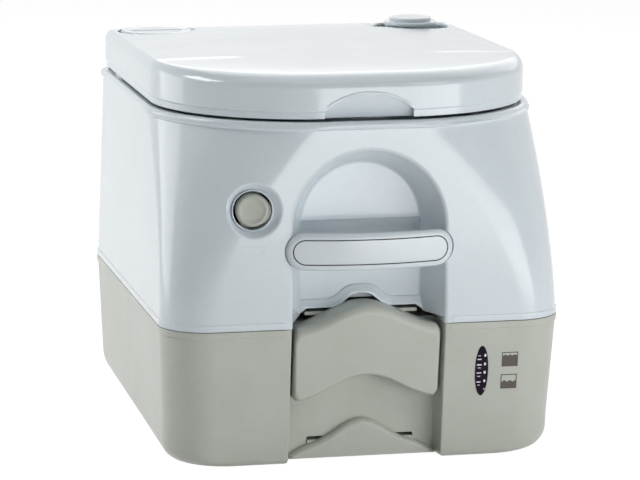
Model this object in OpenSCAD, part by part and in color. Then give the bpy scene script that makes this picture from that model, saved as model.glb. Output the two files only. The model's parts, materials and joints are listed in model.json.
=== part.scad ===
// Portable camp toilet: rinse section with bowl, seat and lid, on a waste tank with a slide valve
// Millimetres, origin on the floor under the middle, front towards -Y

/* [Waste tank] */
// Width where the two sections meet
seam_w = 340; // [310:1:380]
// Depth where the two sections meet
seam_d = 387; // [370:1:420]
// Height of the waste tank
tank_h = 118; // [114:0.5:140]
// Width of the tank near the floor
base_w = 332; // [310:1:340]
// How far the front leans back towards the floor
base_lean = 15; // [5:1:20]
// Rounding along the lower side edges
side_round = 30; // [20:1:40]
// Rounding along the lower front edge
front_round = 5; // [2:0.5:8]
// Front corner radius at the seam
seam_front_r = 44; // [30:1:60]
// Rear corner radius of both sections
rear_r = 22; // [15:1:30]
// Height of the raised band each side of the seam
band_h = 6; // [4:0.5:8]
// How far the bands stand out
band_step = 0.8; // [0.5:0.1:1.5]
// Wall of both sections
wall = 3; // [2.5:0.1:3.5]

/* [Upper section] */
// Height of the upper section, seam to rim
upper_h = 172; // [167:1:190]
// Width at the rim
rim_w = 327; // [315:1:335]
// Front corner radius at the rim
rim_front_r = 133; // [110:1:145]
// Height of the rolled rim
lip_h = 7; // [5:0.5:9]
// How far the rim overhangs the wall
lip_out = 2.5; // [1:0.5:3]
// Width of the flat land round the deck
rim_land = 7; // [5:0.5:8]
// Depth of the deck below the rim
deck_drop = 3.5; // [2:0.5:5]
// Height of the rinse tank floor above the seam
floor_rise = 18; // [16:1:24]

/* [Front recess] */
// Width of the recess
recess_w = 130.6; // [120:0.2:140]
// Depth of the recess
recess_depth = 34; // [32:1:38]
// Height of the centre of the arch above the seam
arch_rise = 82.5; // [80:0.5:95]
// How much the recess narrows on each side in the upper section
recess_draft = 14; // [8:1:18]
// How much the recess narrows on each side in the tank
tank_draft = 2.5; // [1:0.5:3]
// Radius of the finger scoop in the back wall
scoop_r = 21.5; // [18:0.5:26]
// How deep the finger scoop goes into the back wall
scoop_depth = 14; // [6:1:14]
// Width of the opening over the valve blade, at its foot
slot_foot_w = 108; // [104:0.5:112]
// Height of that opening's foot above the seam
slot_low = 5.5; // [4:0.5:8]
// Width of that opening at its ledges
slot_w = 93; // [88:0.5:96]
// Height of the ledges above the seam
slot_h = 13.5; // [12.5:0.5:16]
// Width of the hump in the middle of that opening
slot_hump_w = 46; // [36:1:54]
// Width of the hump's flat top
slot_top_w = 13; // [8:1:24]
// Rise of that hump over the ledges
slot_hump = 10; // [6:0.5:12]

/* [Handle bar] */
// Length of the bar
bar_w = 142; // [138:1:150]
// Height of the bar
bar_h = 31; // [26:1:36]
// Thickness of the bar
bar_t = 6; // [5:0.5:8]
// Forward bow of the bar
bar_bow = 13; // [8:0.5:15]
// Height of the bar's middle above the seam
bar_rise = 65.5; // [60:0.5:72]
// How deep the bar's ends are let into the front wall
bar_let = 4; // [2:0.5:4.5]
// Length of the label plate
label_w = 131; // [120:1:135]
// Height of the label plate
label_h = 21; // [16:1:25]
// Thickness of the label plate
label_t = 1; // [0.6:0.1:1.5]

/* [Slide valve] */
// Place of the valve's middle, along Y
valve_y = -20; // [-30:1:-10]
// Bore of the valve
valve_bore = 78; // [60:1:82]
// Width of the blade
blade_w = 96; // [92:1:98]
// Thickness of the blade
blade_t = 3; // [2.5:0.1:4]
// Width of the rails beside the blade
rail_w = 10; // [8:0.5:14]
// Thickness of the plate under the blade
valve_base_t = 5; // [4:0.5:6]
// Thickness of the plate over the blade
valve_cover_t = 5; // [4:0.5:6]
// Width of the valve seal
seal_w = 4; // [3:0.5:4.5]
// Diameter of the screws
screw_d = 4; // [3:0.5:4.5]
// Gap between the wave-shaped handle and the narrow end of its recess
pull_side = 0.4; // [0.3:0.1:3]
// Height of the handle, measured upright
pull_h = 63; // [56:1:70]
// Rise of the wave along the handle's top
pull_hump = 19; // [18:0.5:24]
// Rise of the wave along the handle's lower edge
pull_low_hump = 20.5; // [17:0.5:24]
// How far the handle's ends reach above the seam
pull_over = -1; // [-1:0.5:2]
// Width by which the slot for the handle is wider than the handle
pull_clear = 4; // [2:0.5:5]
// How far the handle's front stands behind the front wall
pull_set = 1.5; // [1:0.5:3]
// Depth of the handle, front to back
pull_depth = 29; // [24:1:29]
// Rounding along the handle's top edge
pull_top_r = 9; // [5:1:10]
// Rounding along the handle's other front edges
pull_edge_r = 3; // [1:0.5:4]
// Width of the tongue that holds the handle on the blade
tongue_w = 38; // [32:1:40]

/* [Base latch] */
// Gap between the latch and the narrow end of its recess
latch_side = 1.3; // [0.5:0.1:4]
// Height of the latch at its shoulders
latch_end_h = 12; // [11.5:0.5:14]
// Height of the latch's wave above its shoulders
latch_hump = 17.5; // [14:0.5:24]
// Width of the latch's wave
latch_wave_w = 84; // [76:1:96]
// Width of the latch between its drooping tips
latch_tip_w = 60; // [50:1:80]
// How far the latch's tips drop below its shoulders
latch_tip_drop = 7; // [1:0.5:7]
// Height of the latch's lower edge above the floor
latch_low = 4; // [2:0.5:5]
// Thickness of the latch
latch_t = 8; // [6:0.5:10]
// Width of the latch's bolt
bolt_w = 91; // [80:1:94]
// Height of the latch's bolt
bolt_h = 11; // [8:0.5:12]
// Length of the bolt inside its channel
bolt_l = 42; // [35:1:45]
// Length of the channel for the bolt and springs
channel_l = 62; // [60:1:70]
// Outer diameter of the latch springs
latch_spring_d = 9; // [7:0.5:10]

/* [Level window] */
// Sideways place of the window
lens_x = 98; // [92:1:104]
// Height of the window's middle
lens_z = 76; // [66:1:80]
// Width of the window
lens_w = 11; // [8:0.5:13]
// Height of the window
lens_h = 43; // [34:1:48]
// How far the window stands out
lens_proud = 0.8; // [0.4:0.1:1.5]

/* [Emptying spout] */
// Width of the bay in the tank's rear
bay_w = 220; // [215:1:240]
// Depth of the bay
bay_d = 64; // [62:1:70]
// Height of the bay's floor
bay_z = 50; // [46:1:52]
// Sideways place of the spout's pivot
spout_x = 70; // [66:1:74]
// Outer radius of the spout
spout_r = 22; // [18:0.5:23]
// Wall of the spout
spout_wall = 3; // [2.5:0.1:4]
// Length of the spout from its pivot
spout_l = 122; // [110:1:126]
// Height of the spout's axis above the bay's floor
spout_rise = 32; // [31:0.5:33]
// Outer radius of the spout's cap
spout_cap_r = 27; // [26.5:0.1:28]
// Length of the spout's cap
spout_cap_l = 18; // [15:1:22]
// Height of the collar round the spout's foot
collar_h = 5; // [4:0.5:6]
// Width of the collar
collar_w = 6; // [4:0.5:7]

/* [Bowl] */
// Distance of the bowl's mouth from the sides of the rim
bowl_side = 45.5; // [41:0.5:55]
// Distance of the bowl's mouth from the front
bowl_front = 32.5; // [29:0.5:42]
// Distance of the bowl's mouth from the rear
bowl_rear = 84.5; // [80:0.5:92]
// Wall of the bowl
bowl_wall = 2.5; // [2:0.1:3]
// Width of the flange on the deck
flange_w = 9; // [6:0.5:12]
// Thickness of the flange
flange_t = 2; // [1.5:0.1:2.5]
// Thickness of the gasket under the bowl
gasket_t = 2; // [1.5:0.1:3]

/* [Seat] */
// How far the seat reaches over the bowl at each side
seat_lap = 20; // [14:1:26]
// How far the seat reaches over the bowl at front and rear
seat_end_lap = 19; // [14:1:26]
// Height of the seat's underside above the rim
seat_rise = 3; // [2:0.5:4]
// Thickness of the seat
seat_t = 16.5; // [14:0.5:18]
// Rounding along the seat's top edges
seat_round = 6; // [4:0.5:7]
// Gap between the seat and the lid's wall
seat_gap = 2; // [1.5:0.5:4]
// Diameter of the bumpers on seat and lid
bumper_d = 12; // [9:0.5:13]
// Distance between the front and rear bumpers
bumper_pitch = 92; // [70:1:110]
// Gap between the bumpers and the bowl's flange
bumper_gap = 1; // [0.5:0.5:3]

/* [Lid] */
// Height of the lid's lower edge above the rim
lid_rise = 2; // [1.5:0.5:4]
// How far the lid's wall is set in from the rim
lid_inset = 3; // [2:0.5:4]
// Height of the lid's straight wall
lid_side = 21; // [20:0.5:24]
// Height of the set-back band along the lid's lower edge
lid_band_h = 6; // [4:0.5:7]
// How far that band is set back
lid_band_in = 1; // [0.5:0.1:1.5]
// Rounding along the lid's top edge
lid_round = 9.5; // [7:0.5:11]
// Crown of the lid's top
lid_crown = 2; // [1:0.5:4]
// Wall of the lid
lid_wall = 3; // [2.5:0.1:3.5]
// Width of the finger scoop at the front
notch_w = 74; // [60:1:84]
// Height of the finger scoop at its middle
notch_h = 20; // [16:0.5:21]
// Rise of the scoop's arch over its ends
notch_arch = 13; // [9:0.5:13.5]
// Depth of the finger scoop at its lower edge
notch_d = 8; // [5:0.5:10]
// Height of the gap under the scoop, where the seat's edge shows
notch_open = 7; // [5:0.5:8]

/* [Hinge] */
// Distance of the hinge axis from the rear
hinge_in = 12.5; // [12:0.1:14]
// Height of the hinge axis above the rim
hinge_rise = 13.5; // [13:0.5:15]
// Radius of the hinge pin
pin_r = 2.5; // [2:0.1:3]
// Radius of the knuckles
knuckle_r = 5.5; // [5:0.1:5.8]
// Width of each ear of the bracket
ear_w = 8; // [6:0.5:9]
// Sideways place of each ear's middle
ear_x = 50; // [46:1:54]
// Width of the seat's knuckles
seat_knuckle_w = 11; // [8:0.5:13]
// Width of the lid's knuckles
lid_knuckle_w = 8; // [6:0.5:9]

/* [Flush button] */
// Sideways distance of the button from the middle
button_x = 96; // [94:1:102]
// Height of the button above the seam
button_rise = 98.5; // [90:0.5:105]
// Radius of the button
button_r = 14.5; // [11:0.5:15]
// Radius of the bezel
bezel_r = 17; // [16.5:0.5:18]
// Radius of the dish round the bezel
dish_r = 22; // [20:0.5:24]
// Depth of the dish
dish_d = 4; // [2:0.5:5]
// Travel of the button
button_travel = 6; // [4:0.5:7]

/* [Pump and filler] */
// Distance of pump and filler from the side of the rim
corner_in_x = 45.5; // [43:0.5:48]
// Distance of pump and filler from the rear
corner_in_y = 41.5; // [41:0.5:43]
// Radius of the lid's openings round them
corner_r = 35; // [34:0.5:35.5]
// Radius of the knob's ring
knob_r = 24.5; // [22:0.5:26.5]
// Radius of the knob's top disc
knob_top_r = 19.5; // [16:0.5:21]
// Height of the knob above the rim
knob_h = 43.5; // [40:0.5:44]
// Height of the knob's top disc
knob_step = 3.5; // [2:0.5:10]
// Height of the knob's ring
knob_ring = 4; // [3:0.5:8]
// Radius of the collar under the knob
pump_collar_r = 24; // [22:0.5:26]
// Height of that collar above the deck
pump_collar_h = 14; // [10:0.5:16]
// Outer radius of the pump barrel
barrel_r = 21; // [18:0.5:21.5]
// Height of the pump barrel's foot above the rinse tank's floor
barrel_foot = 14.5; // [8:0.5:20]
// Stroke of the pump
pump_stroke = 65; // [40:1:70]
// Radius of the pump rod
rod_r = 5; // [4:0.5:6]
// How far the stop on the rod stands out
rod_stop = 3; // [2:0.5:5]
// Outer radius of the filler neck
neck_r = 26; // [22:0.5:26.5]
// Height of the filler neck above the deck
neck_h = 24; // [16:0.5:24.5]
// Outer radius of the filler cap
cap_r = 31; // [30.5:0.1:32]
// Height of the grip on the cap
grip_h = 4; // [3:0.5:4.5]

/* [Fits] */
// Gap between pieces that move past each other
gap = 0.3; // [0.2:0.05:0.4]
// Running clearance round pins and rods
fit = 0.06; // [0.04:0.01:0.1]

/* [Hidden] */
$fn = 64;
over = 1;
white = "#DFE4E7";
tan_grey = "#ACACA0";
beige = "#AFAC9B";
dark = "#2A2826";
rubber = "#3A3A38";
steel = "#B9BCBE";
front_steps = 14;
rear_steps = 5;
front_y = -seam_d / 2;
rear_y = seam_d / 2;
rim_z = tank_h + upper_h;
deck_z = rim_z - deck_drop;
floor_z = tank_h + floor_rise;
arch_z = tank_h + arch_rise;
back_y = front_y + recess_depth;
bar_z = tank_h + bar_rise;
blade_z = tank_h + valve_base_t + gap;
cover_z = blade_z + blade_t + gap;
valve_top = cover_z + valve_cover_t;
seat_z = rim_z + seat_rise;
seat_top = seat_z + seat_t;
lid_z = rim_z + lid_rise;
lid_top = lid_z + lid_side + lid_round + lid_crown;
ceiling_z = lid_top - lid_crown - lid_wall;
hinge_y = rear_y - hinge_in;
hinge_z = rim_z + hinge_rise;
corner_x = rim_w / 2 - corner_in_x;
corner_y = rear_y - corner_in_y;
spout_y = rear_y - bay_d / 2 - gap;
pull_w = recess_w - 2 * tank_draft - 2 * pull_side;
pull_front = front_y + pull_set;
pull_back = pull_front + pull_depth;
latch_w = recess_w - 2 * tank_draft - 2 * latch_side;
latch_back = back_y - gap;
bowl_w = rim_w - 2 * bowl_side;
bowl_d = seam_d - bowl_front - bowl_rear;
bowl_y = (bowl_front - bowl_rear) / 2;
seat_open_w = bowl_w - 2 * seat_lap;
seat_open_d = bowl_d - 2 * seat_end_lap;
spring_l = channel_l - bolt_l - gap;
bolt_rise = 1;
tip_curve = 1.8;
bolt_z = latch_low + bolt_rise;
seat_knuckle_x = ear_x - ear_w / 2 - gap - seat_knuckle_w / 2;
lid_knuckle_x = ear_x + ear_w / 2 + gap + lid_knuckle_w / 2;

function mix(a, b, t) = a + (b - a) * t;
function arc(x, y, r, from, to, steps) =
  [for (i = [0 : steps]) let (a = mix(from, to, i / steps)) [x + r * cos(a), y + r * sin(a)]];
// Rounded plan with its own radius at the front and the rear, set in all round
function plan(w, front, rear, front_r, rear_r, inset) =
  let (
    hw = w / 2 - inset,
    f = front + inset,
    r = rear - inset,
    fr = max(front_r - inset, 1),
    rr = max(rear_r - inset, 1)
  )
  concat(
    arc(hw - fr, f + fr, fr, -90, 0, front_steps),
    arc(hw - rr, r - rr, rr, 0, 90, rear_steps),
    arc(rr - hw, r - rr, rr, 90, 180, rear_steps),
    arc(fr - hw, f + fr, fr, 180, 270, front_steps)
  );
function raise(points, z) = [for (p = points) [p.x, p.y, z]];
function oval(w, d, y, steps = 48) =
  [for (i = [0 : steps - 1]) let (a = 360 * i / steps) [w / 2 * cos(a), y + d / 2 * sin(a)]];

// Plan of the upper section's wall at a height above the seam, from 0 at the seam to 1 at the rim
function wall_plan(t, inset) =
  plan(mix(seam_w, rim_w, t), front_y, rear_y, mix(seam_front_r, rim_front_r, t), rear_r, inset);
function rim_plan(inset) = wall_plan(1, inset);
function tank_front(z) = front_y + base_lean * (1 - z / tank_h);
function tank_plan(z, inset, narrow, back) =
  plan(
    mix(base_w, seam_w, max(z - side_round, 0) / (tank_h - side_round)) - 2 * narrow,
    tank_front(z) + back, rear_y, seam_front_r, rear_r, inset
  );

// Solid between level rings that all have the same number of points
module loft(rings) {
  n = len(rings[0]);
  top = (len(rings) - 1) * n;
  sides = [
    for (k = [0 : len(rings) - 2], i = [0 : n - 1])
      let (a = k * n + i, b = k * n + (i + 1) % n)
      each [[a, a + n, b + n], [a, b + n, b]]
  ];
  // Each end is closed by strips between facing points of its ring
  ends = [
    for (i = [0 : n / 2 - 2])
      let (a = [i, i + 1, n - 2 - i, n - 1 - i])
      each [a, [for (k = [3 : -1 : 0]) top + a[k]]]
  ];
  polyhedron(points = [for (r = rings) each r], faces = concat(sides, ends), convexity = 8);
}

// Waste tank
module tank_form(inset) {
  bands = inset > 0 ? [] : [
    raise(tank_plan(tank_h - band_h, 0, 0, 0), tank_h - band_h),
    raise(tank_plan(tank_h - band_h, -band_step, 0, 0), tank_h - band_h)
  ];
  loft(concat(
    [
      for (a = [0 : 18 : 90])
        let (z = side_round - (side_round - inset) * cos(a), narrow = (side_round - inset) * (1 - sin(a)))
        raise(tank_plan(z, inset, narrow, front_round * (1 - sin(a))), z)
    ],
    bands,
    [raise(tank_plan(tank_h, inset > 0 ? inset : -band_step, 0, 0), tank_h - inset)]
  ));
}

// Plan of the recess, narrowing towards its back, grown for its liner
module recess_plan(draft, grow) {
  mouth = over * 8;
  slope = draft / recess_depth;
  polygon([
    [-recess_w / 2 - grow - slope * mouth, front_y - mouth],
    [recess_w / 2 + grow + slope * mouth, front_y - mouth],
    [recess_w / 2 + grow - draft, back_y + grow],
    [-recess_w / 2 - grow + draft, back_y + grow]
  ]);
}

module tank_recess(grow) {
  translate([0, 0, -over]) linear_extrude(tank_h + 2 * over) recess_plan(tank_draft, grow);
}

module spout_bay(grow) {
  translate([-bay_w / 2 - grow, rear_y - bay_d - grow, bay_z - grow])
    cube([bay_w + 2 * grow, bay_d + grow + over, tank_h - bay_z + grow + over]);
}

module bolt_channel(grow) {
  translate([-bolt_w / 2 - gap - grow, back_y - over, bolt_z - gap - grow])
    cube([bolt_w + 2 * gap + 2 * grow, channel_l + over + grow, bolt_h + 2 * gap + 2 * grow]);
}

// Frame on the leaning front of the tank, with +Z pointing out of it
module at_lens() {
  translate([lens_x, tank_front(lens_z), lens_z]) rotate([90 + atan(base_lean / tank_h), 0, 0]) children();
}

module lens_outline(grow) {
  polygon(oval(lens_w + 2 * grow, lens_h + 2 * grow, 0, 32));
}

module at_spout() {
  translate([spout_x, spout_y, bay_z]) children();
}

module at_valve() {
  translate([0, valve_y, 0]) children();
}

module at_valve_screws() {
  side = blade_w / 2 + rail_w / 2 + gap / 2;
  for (x = [-side, side], y = [-blade_w / 2 + rail_w / 2, 0])
    translate([x, valve_y + y, 0]) children();
}

module waste_tank() {
  color(tan_grey)
  difference() {
    union() {
      difference() {
        tank_form(0);
        tank_form(wall);
      }
      intersection() {
        tank_form(wall / 2);
        union() {
          tank_recess(wall);
          spout_bay(wall);
          bolt_channel(wall / 2);
        }
      }
    }
    tank_recess(0);
    spout_bay(0);
    bolt_channel(0);
    at_valve() translate([0, 0, tank_h - 2 * wall]) cylinder(d = valve_bore, h = 3 * wall);
    at_spout() translate([0, 0, -2 * wall]) cylinder(r = spout_r - spout_wall, h = 4 * wall);
    at_lens() translate([0, 0, -2 * wall]) linear_extrude(4 * wall) lens_outline(0);
    at_valve_screws() translate([0, 0, tank_h - 2 * wall]) cylinder(d = screw_d, h = 3 * wall);
  }
}

// Slide valve on top of the tank
module blade_plan(grow, front) {
  circle(d = blade_w + 2 * grow);
  translate([-blade_w / 2 - grow, front]) square([blade_w + 2 * grow, -front]);
}

module valve_plan() {
  circle(d = blade_w + 2 * rail_w + 2 * gap);
  translate([-blade_w / 2 - rail_w - gap, -blade_w / 2 - gap])
    square([blade_w + 2 * rail_w + 2 * gap, blade_w / 2 + gap]);
}

module valve_base() {
  color(tan_grey)
  difference() {
    at_valve() translate([0, 0, tank_h]) linear_extrude(cover_z - tank_h) valve_plan();
    at_valve() translate([0, 0, tank_h + valve_base_t])
      linear_extrude(cover_z) blade_plan(gap, -blade_w);
    at_valve() translate([0, 0, tank_h - over]) cylinder(d = valve_bore, h = cover_z);
    at_valve_screws() translate([0, 0, tank_h - over]) cylinder(d = screw_d, h = cover_z);
  }
}

module valve_cover() {
  color(tan_grey)
  difference() {
    at_valve() translate([0, 0, cover_z]) linear_extrude(valve_cover_t) valve_plan();
    at_valve() translate([0, 0, cover_z - over]) cylinder(d = valve_bore, h = 2 * valve_cover_t + over);
    at_valve() translate([0, 0, cover_z - over])
      cylinder(d = valve_bore + 2 * seal_w, h = valve_cover_t / 2 + over);
    at_valve_screws() translate([0, 0, cover_z - over]) cylinder(d = screw_d, h = 2 * valve_cover_t);
  }
}

module valve_seal() {
  color(rubber)
  at_valve() translate([0, 0, cover_z])
    difference() {
      cylinder(d = valve_bore + 2 * seal_w, h = valve_cover_t / 2);
      translate([0, 0, -over]) cylinder(d = valve_bore, h = valve_cover_t);
    }
}

module valve_screws() {
  head_h = 2;
  color(steel)
  at_valve_screws() {
    translate([0, 0, tank_h - wall]) cylinder(d = screw_d, h = valve_top - tank_h + wall);
    translate([0, 0, valve_top]) cylinder(d = 2 * screw_d, h = head_h);
  }
}

lens_back = 2;
module level_lens() {
  color(dark)
  at_lens() translate([0, 0, -wall - lens_back])
    linear_extrude(wall + lens_back + lens_proud) lens_outline(-fit);
}

module lens_gasket() {
  rim = 3;
  color(rubber)
  at_lens() translate([0, 0, -wall - lens_back])
    linear_extrude(lens_back - gap) difference() {
      lens_outline(rim);
      lens_outline(0);
    }
}

// Smooth hump in the middle of a wave-shaped piece, and its drooping tips
function wave(x, w, hump) = abs(x) < w / 2 ? hump * (1 + cos(360 * x / w)) / 2 : 0;
function tip(x, w, tip_w, drop) = drop * pow(max(0, 2 * abs(x) - tip_w) / (w - tip_w), tip_curve);
// Outline of a wave-shaped piece at one depth, drawn in at its sides, foot and top
function wave_ring(w, wave_w, tip_w, low, high, humps, drop, y, side_in, low_in, high_in, steps = 22) =
  let (hw = w / 2 - side_in)
  concat(
    [
      for (i = [0 : steps])
        let (x = mix(-hw, hw, i / steps))
        [x, y, low + low_in + wave(x, wave_w, humps[0])]
    ],
    [
      for (i = [0 : steps])
        let (x = mix(hw, -hw, i / steps))
        [x, y, high - high_in + wave(x, wave_w, humps[1]) - tip(x, w, tip_w, drop)]
    ]
  );
// Leans the front of a wave-shaped piece like the tank's front and leaves its back upright
function leaned(ring, back, front, lean) =
  [for (p = ring) [p.x, p.y - lean * (p.z - tank_h) * (back - p.y) / (back - front), p.z]];
// Piece from back to front, its top edge rounded more than the rest
module wave_pull(w, wave_w, tip_w, low, high, humps, drop, back, front, lean, top_r, edge_r) {
  loft(concat(
    [wave_ring(w, wave_w, tip_w, low, high, humps, drop, back, 0, 0, 0)],
    [
      for (a = [0 : 22.5 : 90])
        let (s = 1 - cos(a), y = front + top_r * (1 - sin(a)))
        leaned(
          wave_ring(w, wave_w, tip_w, low, high, humps, drop, y, edge_r * s, edge_r * s, top_r * s),
          back, front, lean
        )
    ]
  ));
}

pull_high = tank_h + pull_over;
pull_low = pull_high - pull_h;

module valve_handle() {
  shell = 3;
  boss = 2.5 * screw_d;
  boss_z = pull_low + pull_low_hump;
  lean = base_lean / tank_h;
  pull_humps = [pull_low_hump, pull_hump];
  color(tan_grey)
  difference() {
    union() {
      difference() {
        wave_pull(
          pull_w, pull_w, 0, pull_low, pull_high, pull_humps, 0, pull_back, pull_front, lean,
          pull_top_r, pull_edge_r
        );
        wave_pull(
          pull_w - 2 * shell, pull_w, 0, pull_low + shell, pull_high - shell, pull_humps, 0,
          pull_back + over, pull_front + shell, lean, pull_top_r, pull_edge_r
        );
      }
      at_handle_screws() translate([0, 0, boss_z]) cylinder(d = boss, h = blade_z - boss_z);
    }
    at_handle_screws() translate([0, 0, blade_z - 4 * screw_d]) cylinder(d = screw_d, h = 5 * screw_d);
  }
}

module at_handle_screws() {
  for (x = [-tongue_w / 4, tongue_w / 4])
    translate([x, pull_front + pull_depth / 2, 0]) children();
}

module valve_blade() {
  tongue_y = pull_front + pull_depth / 4;
  color(tan_grey)
  difference() {
    translate([0, 0, blade_z]) linear_extrude(blade_t) {
      at_valve() blade_plan(0, pull_back + gap - valve_y);
      translate([-tongue_w / 2, tongue_y]) square([tongue_w, valve_y - tongue_y]);
    }
    at_handle_screws() translate([0, 0, blade_z - over]) cylinder(d = screw_d, h = blade_t + 2 * over);
  }
}

module handle_screws() {
  head_h = 2;
  color(steel)
  at_handle_screws() {
    translate([0, 0, blade_z - 3 * screw_d]) cylinder(d = screw_d, h = 3 * screw_d + blade_t);
    translate([0, 0, blade_z + blade_t]) cylinder(d = 2 * screw_d, h = head_h);
  }
}

// Sliding latch near the floor
module base_latch() {
  edge_r = 2;
  color(tan_grey)
  union() {
    wave_pull(
      latch_w, latch_wave_w, latch_tip_w, latch_low, latch_low + latch_end_h, [0, latch_hump],
      latch_tip_drop, latch_back, latch_back - latch_t, 0, edge_r, edge_r
    );
    translate([-bolt_w / 2, latch_back - over, bolt_z])
      cube([bolt_w, bolt_l + over - gap, bolt_h]);
  }
}

module latch_spring() {
  coil = 1.2;
  color(steel)
  for (x = [-bolt_w / 4, bolt_w / 4])
    translate([x, latch_back + bolt_l, bolt_z + bolt_h / 2])
      rotate([-90, 0, 0]) difference() {
        cylinder(d = latch_spring_d, h = spring_l - gap);
        translate([0, 0, -over]) cylinder(d = latch_spring_d - 2 * coil, h = spring_l + 2 * over);
      }
}

// Swing-out emptying spout in the bay
module spout_collar() {
  color(tan_grey)
  at_spout() difference() {
    cylinder(r = spout_r + fit + collar_w, h = collar_h);
    translate([0, 0, -over]) cylinder(r = spout_r + fit, h = collar_h + 2 * over);
  }
}

module spout_path(r, extra) {
  translate([0, 0, gap - extra]) cylinder(r = r, h = spout_rise - gap + extra);
  translate([0, 0, spout_rise]) sphere(r = r);
  translate([0, 0, spout_rise]) rotate([0, -90, 0]) cylinder(r = r, h = spout_l + extra);
}

module pour_spout() {
  color(tan_grey)
  at_spout() difference() {
    spout_path(spout_r, 0);
    spout_path(spout_r - spout_wall, over);
  }
}

module at_spout_end() {
  at_spout() translate([-spout_l, 0, spout_rise]) rotate([0, -90, 0]) children();
}

spout_seal_t = 1.6;
module spout_cap() {
  roof = 2;
  seat_in = gap + spout_seal_t;
  top = seat_in + roof;
  ribs = 16;
  rib_r = 2;
  rib_out = 1;
  color(tan_grey)
  at_spout_end() difference() {
    translate([0, 0, top - spout_cap_l]) cylinder(r = spout_cap_r, h = spout_cap_l);
    translate([0, 0, top - spout_cap_l - over]) cylinder(r = spout_r + fit, h = spout_cap_l - roof + over);
    for (i = [0 : ribs - 1])
      rotate(360 / ribs * i) translate([spout_cap_r + rib_out, 0, top - spout_cap_l - over])
        cylinder(r = rib_r, h = spout_cap_l);
  }
}

module cap_seal() {
  color(rubber)
  at_spout_end() translate([0, 0, gap]) difference() {
    cylinder(r = spout_r, h = spout_seal_t);
    translate([0, 0, -over]) cylinder(r = spout_r - spout_wall, h = spout_seal_t + 2 * over);
  }
}

// Upper section
lip_r = lip_out + 1;
module upper_form(inset, drop) {
  base = tank_h + gap;
  t = 1 - lip_h / upper_h;
  if (inset > 0)
    loft([
      raise(wall_plan(0, inset), base - drop),
      raise(wall_plan(1, inset), deck_z - 2 * wall + inset)
    ]);
  else
    loft(concat(
      [
        raise(wall_plan(0, -band_step), base),
        raise(wall_plan(band_h / upper_h, -band_step), tank_h + band_h),
        raise(wall_plan(band_h / upper_h, 0), tank_h + band_h),
        raise(wall_plan(t, 0), rim_z - lip_h),
        raise(wall_plan(1, -lip_out), rim_z - lip_h + lip_out / 2)
      ],
      [
        for (a = [0 : 30 : 90])
          raise(wall_plan(1, lip_r * (1 - cos(a)) - lip_out), rim_z - lip_r * (1 - sin(a)))
      ]
    ));
}

module upper_recess(grow) {
  slope = recess_draft / recess_depth;
  mouth = over * 8;
  scoop_w = recess_w - 2 * recess_draft;
  translate([0, 0, tank_h - over]) linear_extrude(arch_rise + over) recess_plan(recess_draft, grow);
  translate([0, front_y - mouth, arch_z]) rotate([-90, 0, 0])
    cylinder(
      r1 = recess_w / 2 + grow + slope * mouth, r2 = recess_w / 2 + grow - recess_draft,
      h = recess_depth + mouth + grow
    );
  translate([-scoop_w / 2 - grow, back_y + scoop_depth - scoop_r, bar_z]) rotate([0, 90, 0])
    cylinder(r = scoop_r + grow, h = scoop_w + 2 * grow);
}

// Opening in the recess's back wall over the blade: low ends, a ledge each side, a hump in the middle
module blade_opening() {
  steps = 6;
  side = concat(
    [[slot_foot_w / 2, -over], [slot_foot_w / 2, slot_low], [slot_w / 2, slot_h]],
    [
      for (i = [0 : steps])
        [mix(slot_hump_w, slot_top_w, i / steps) / 2, slot_h + wave(1 - i / steps, 2, slot_hump)]
    ]
  );
  mirrored = [for (i = [len(side) - 1 : -1 : 0]) [-side[i].x, side[i].y]];
  translate([0, back_y + wall + over, tank_h]) rotate([90, 0, 0])
    linear_extrude(wall + 2 * over) polygon(concat(side, mirrored));
  translate([-pull_w / 2 - pull_clear / 2, front_y - over, tank_h - over])
    cube([pull_w + pull_clear, recess_depth + wall + 2 * over, slot_low + over]);
}

// Frame on the front wall at the flush button, with +Z pointing out of the wall
button_t = button_rise / upper_h;
button_wall_r = mix(seam_front_r, rim_front_r, button_t);
button_off = max(button_x - (mix(seam_w, rim_w, button_t) / 2 - button_wall_r), 0);
button_turn = asin(button_off / button_wall_r);
button_y = front_y + button_wall_r * (1 - cos(button_turn));
module at_button() {
  translate([-button_x, button_y, tank_h + button_rise]) rotate([90, 0, -button_turn]) children();
}

well_run = 8;
well_d = dish_d + well_run;
module bar_outline(w, h) {
  for (x = [-1, 1]) translate([x * (w - h) / 2, 0]) circle(d = h);
  square([w - h, h], center = true);
}

bow_r = (pow(bar_w / 2, 2) + pow(bar_bow, 2)) / (2 * bar_bow);
bar_back = front_y + bar_let;
// Bowed pill, its back at the given distance behind the bar's own
module bar_form(w, h, back, front, grow) {
  intersection() {
    translate([0, 0, bar_z]) rotate([90, 0, 0]) linear_extrude(seam_d)
      bar_outline(w + 2 * grow, h + 2 * grow);
    translate([0, bar_back - bar_bow + bow_r, bar_z]) difference() {
      cylinder(r = bow_r + front, h = 2 * h, center = true, $fn = 256);
      cylinder(r = bow_r - back, h = 3 * h, center = true, $fn = 256);
    }
  }
}

// Straight pocket in the front wall for the ends of the bar
module bar_pocket() {
  translate([0, bar_back, bar_z]) rotate([90, 0, 0])
    linear_extrude(4 * bar_let) bar_outline(bar_w + 2 * gap, bar_h + 2 * gap);
}

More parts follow.
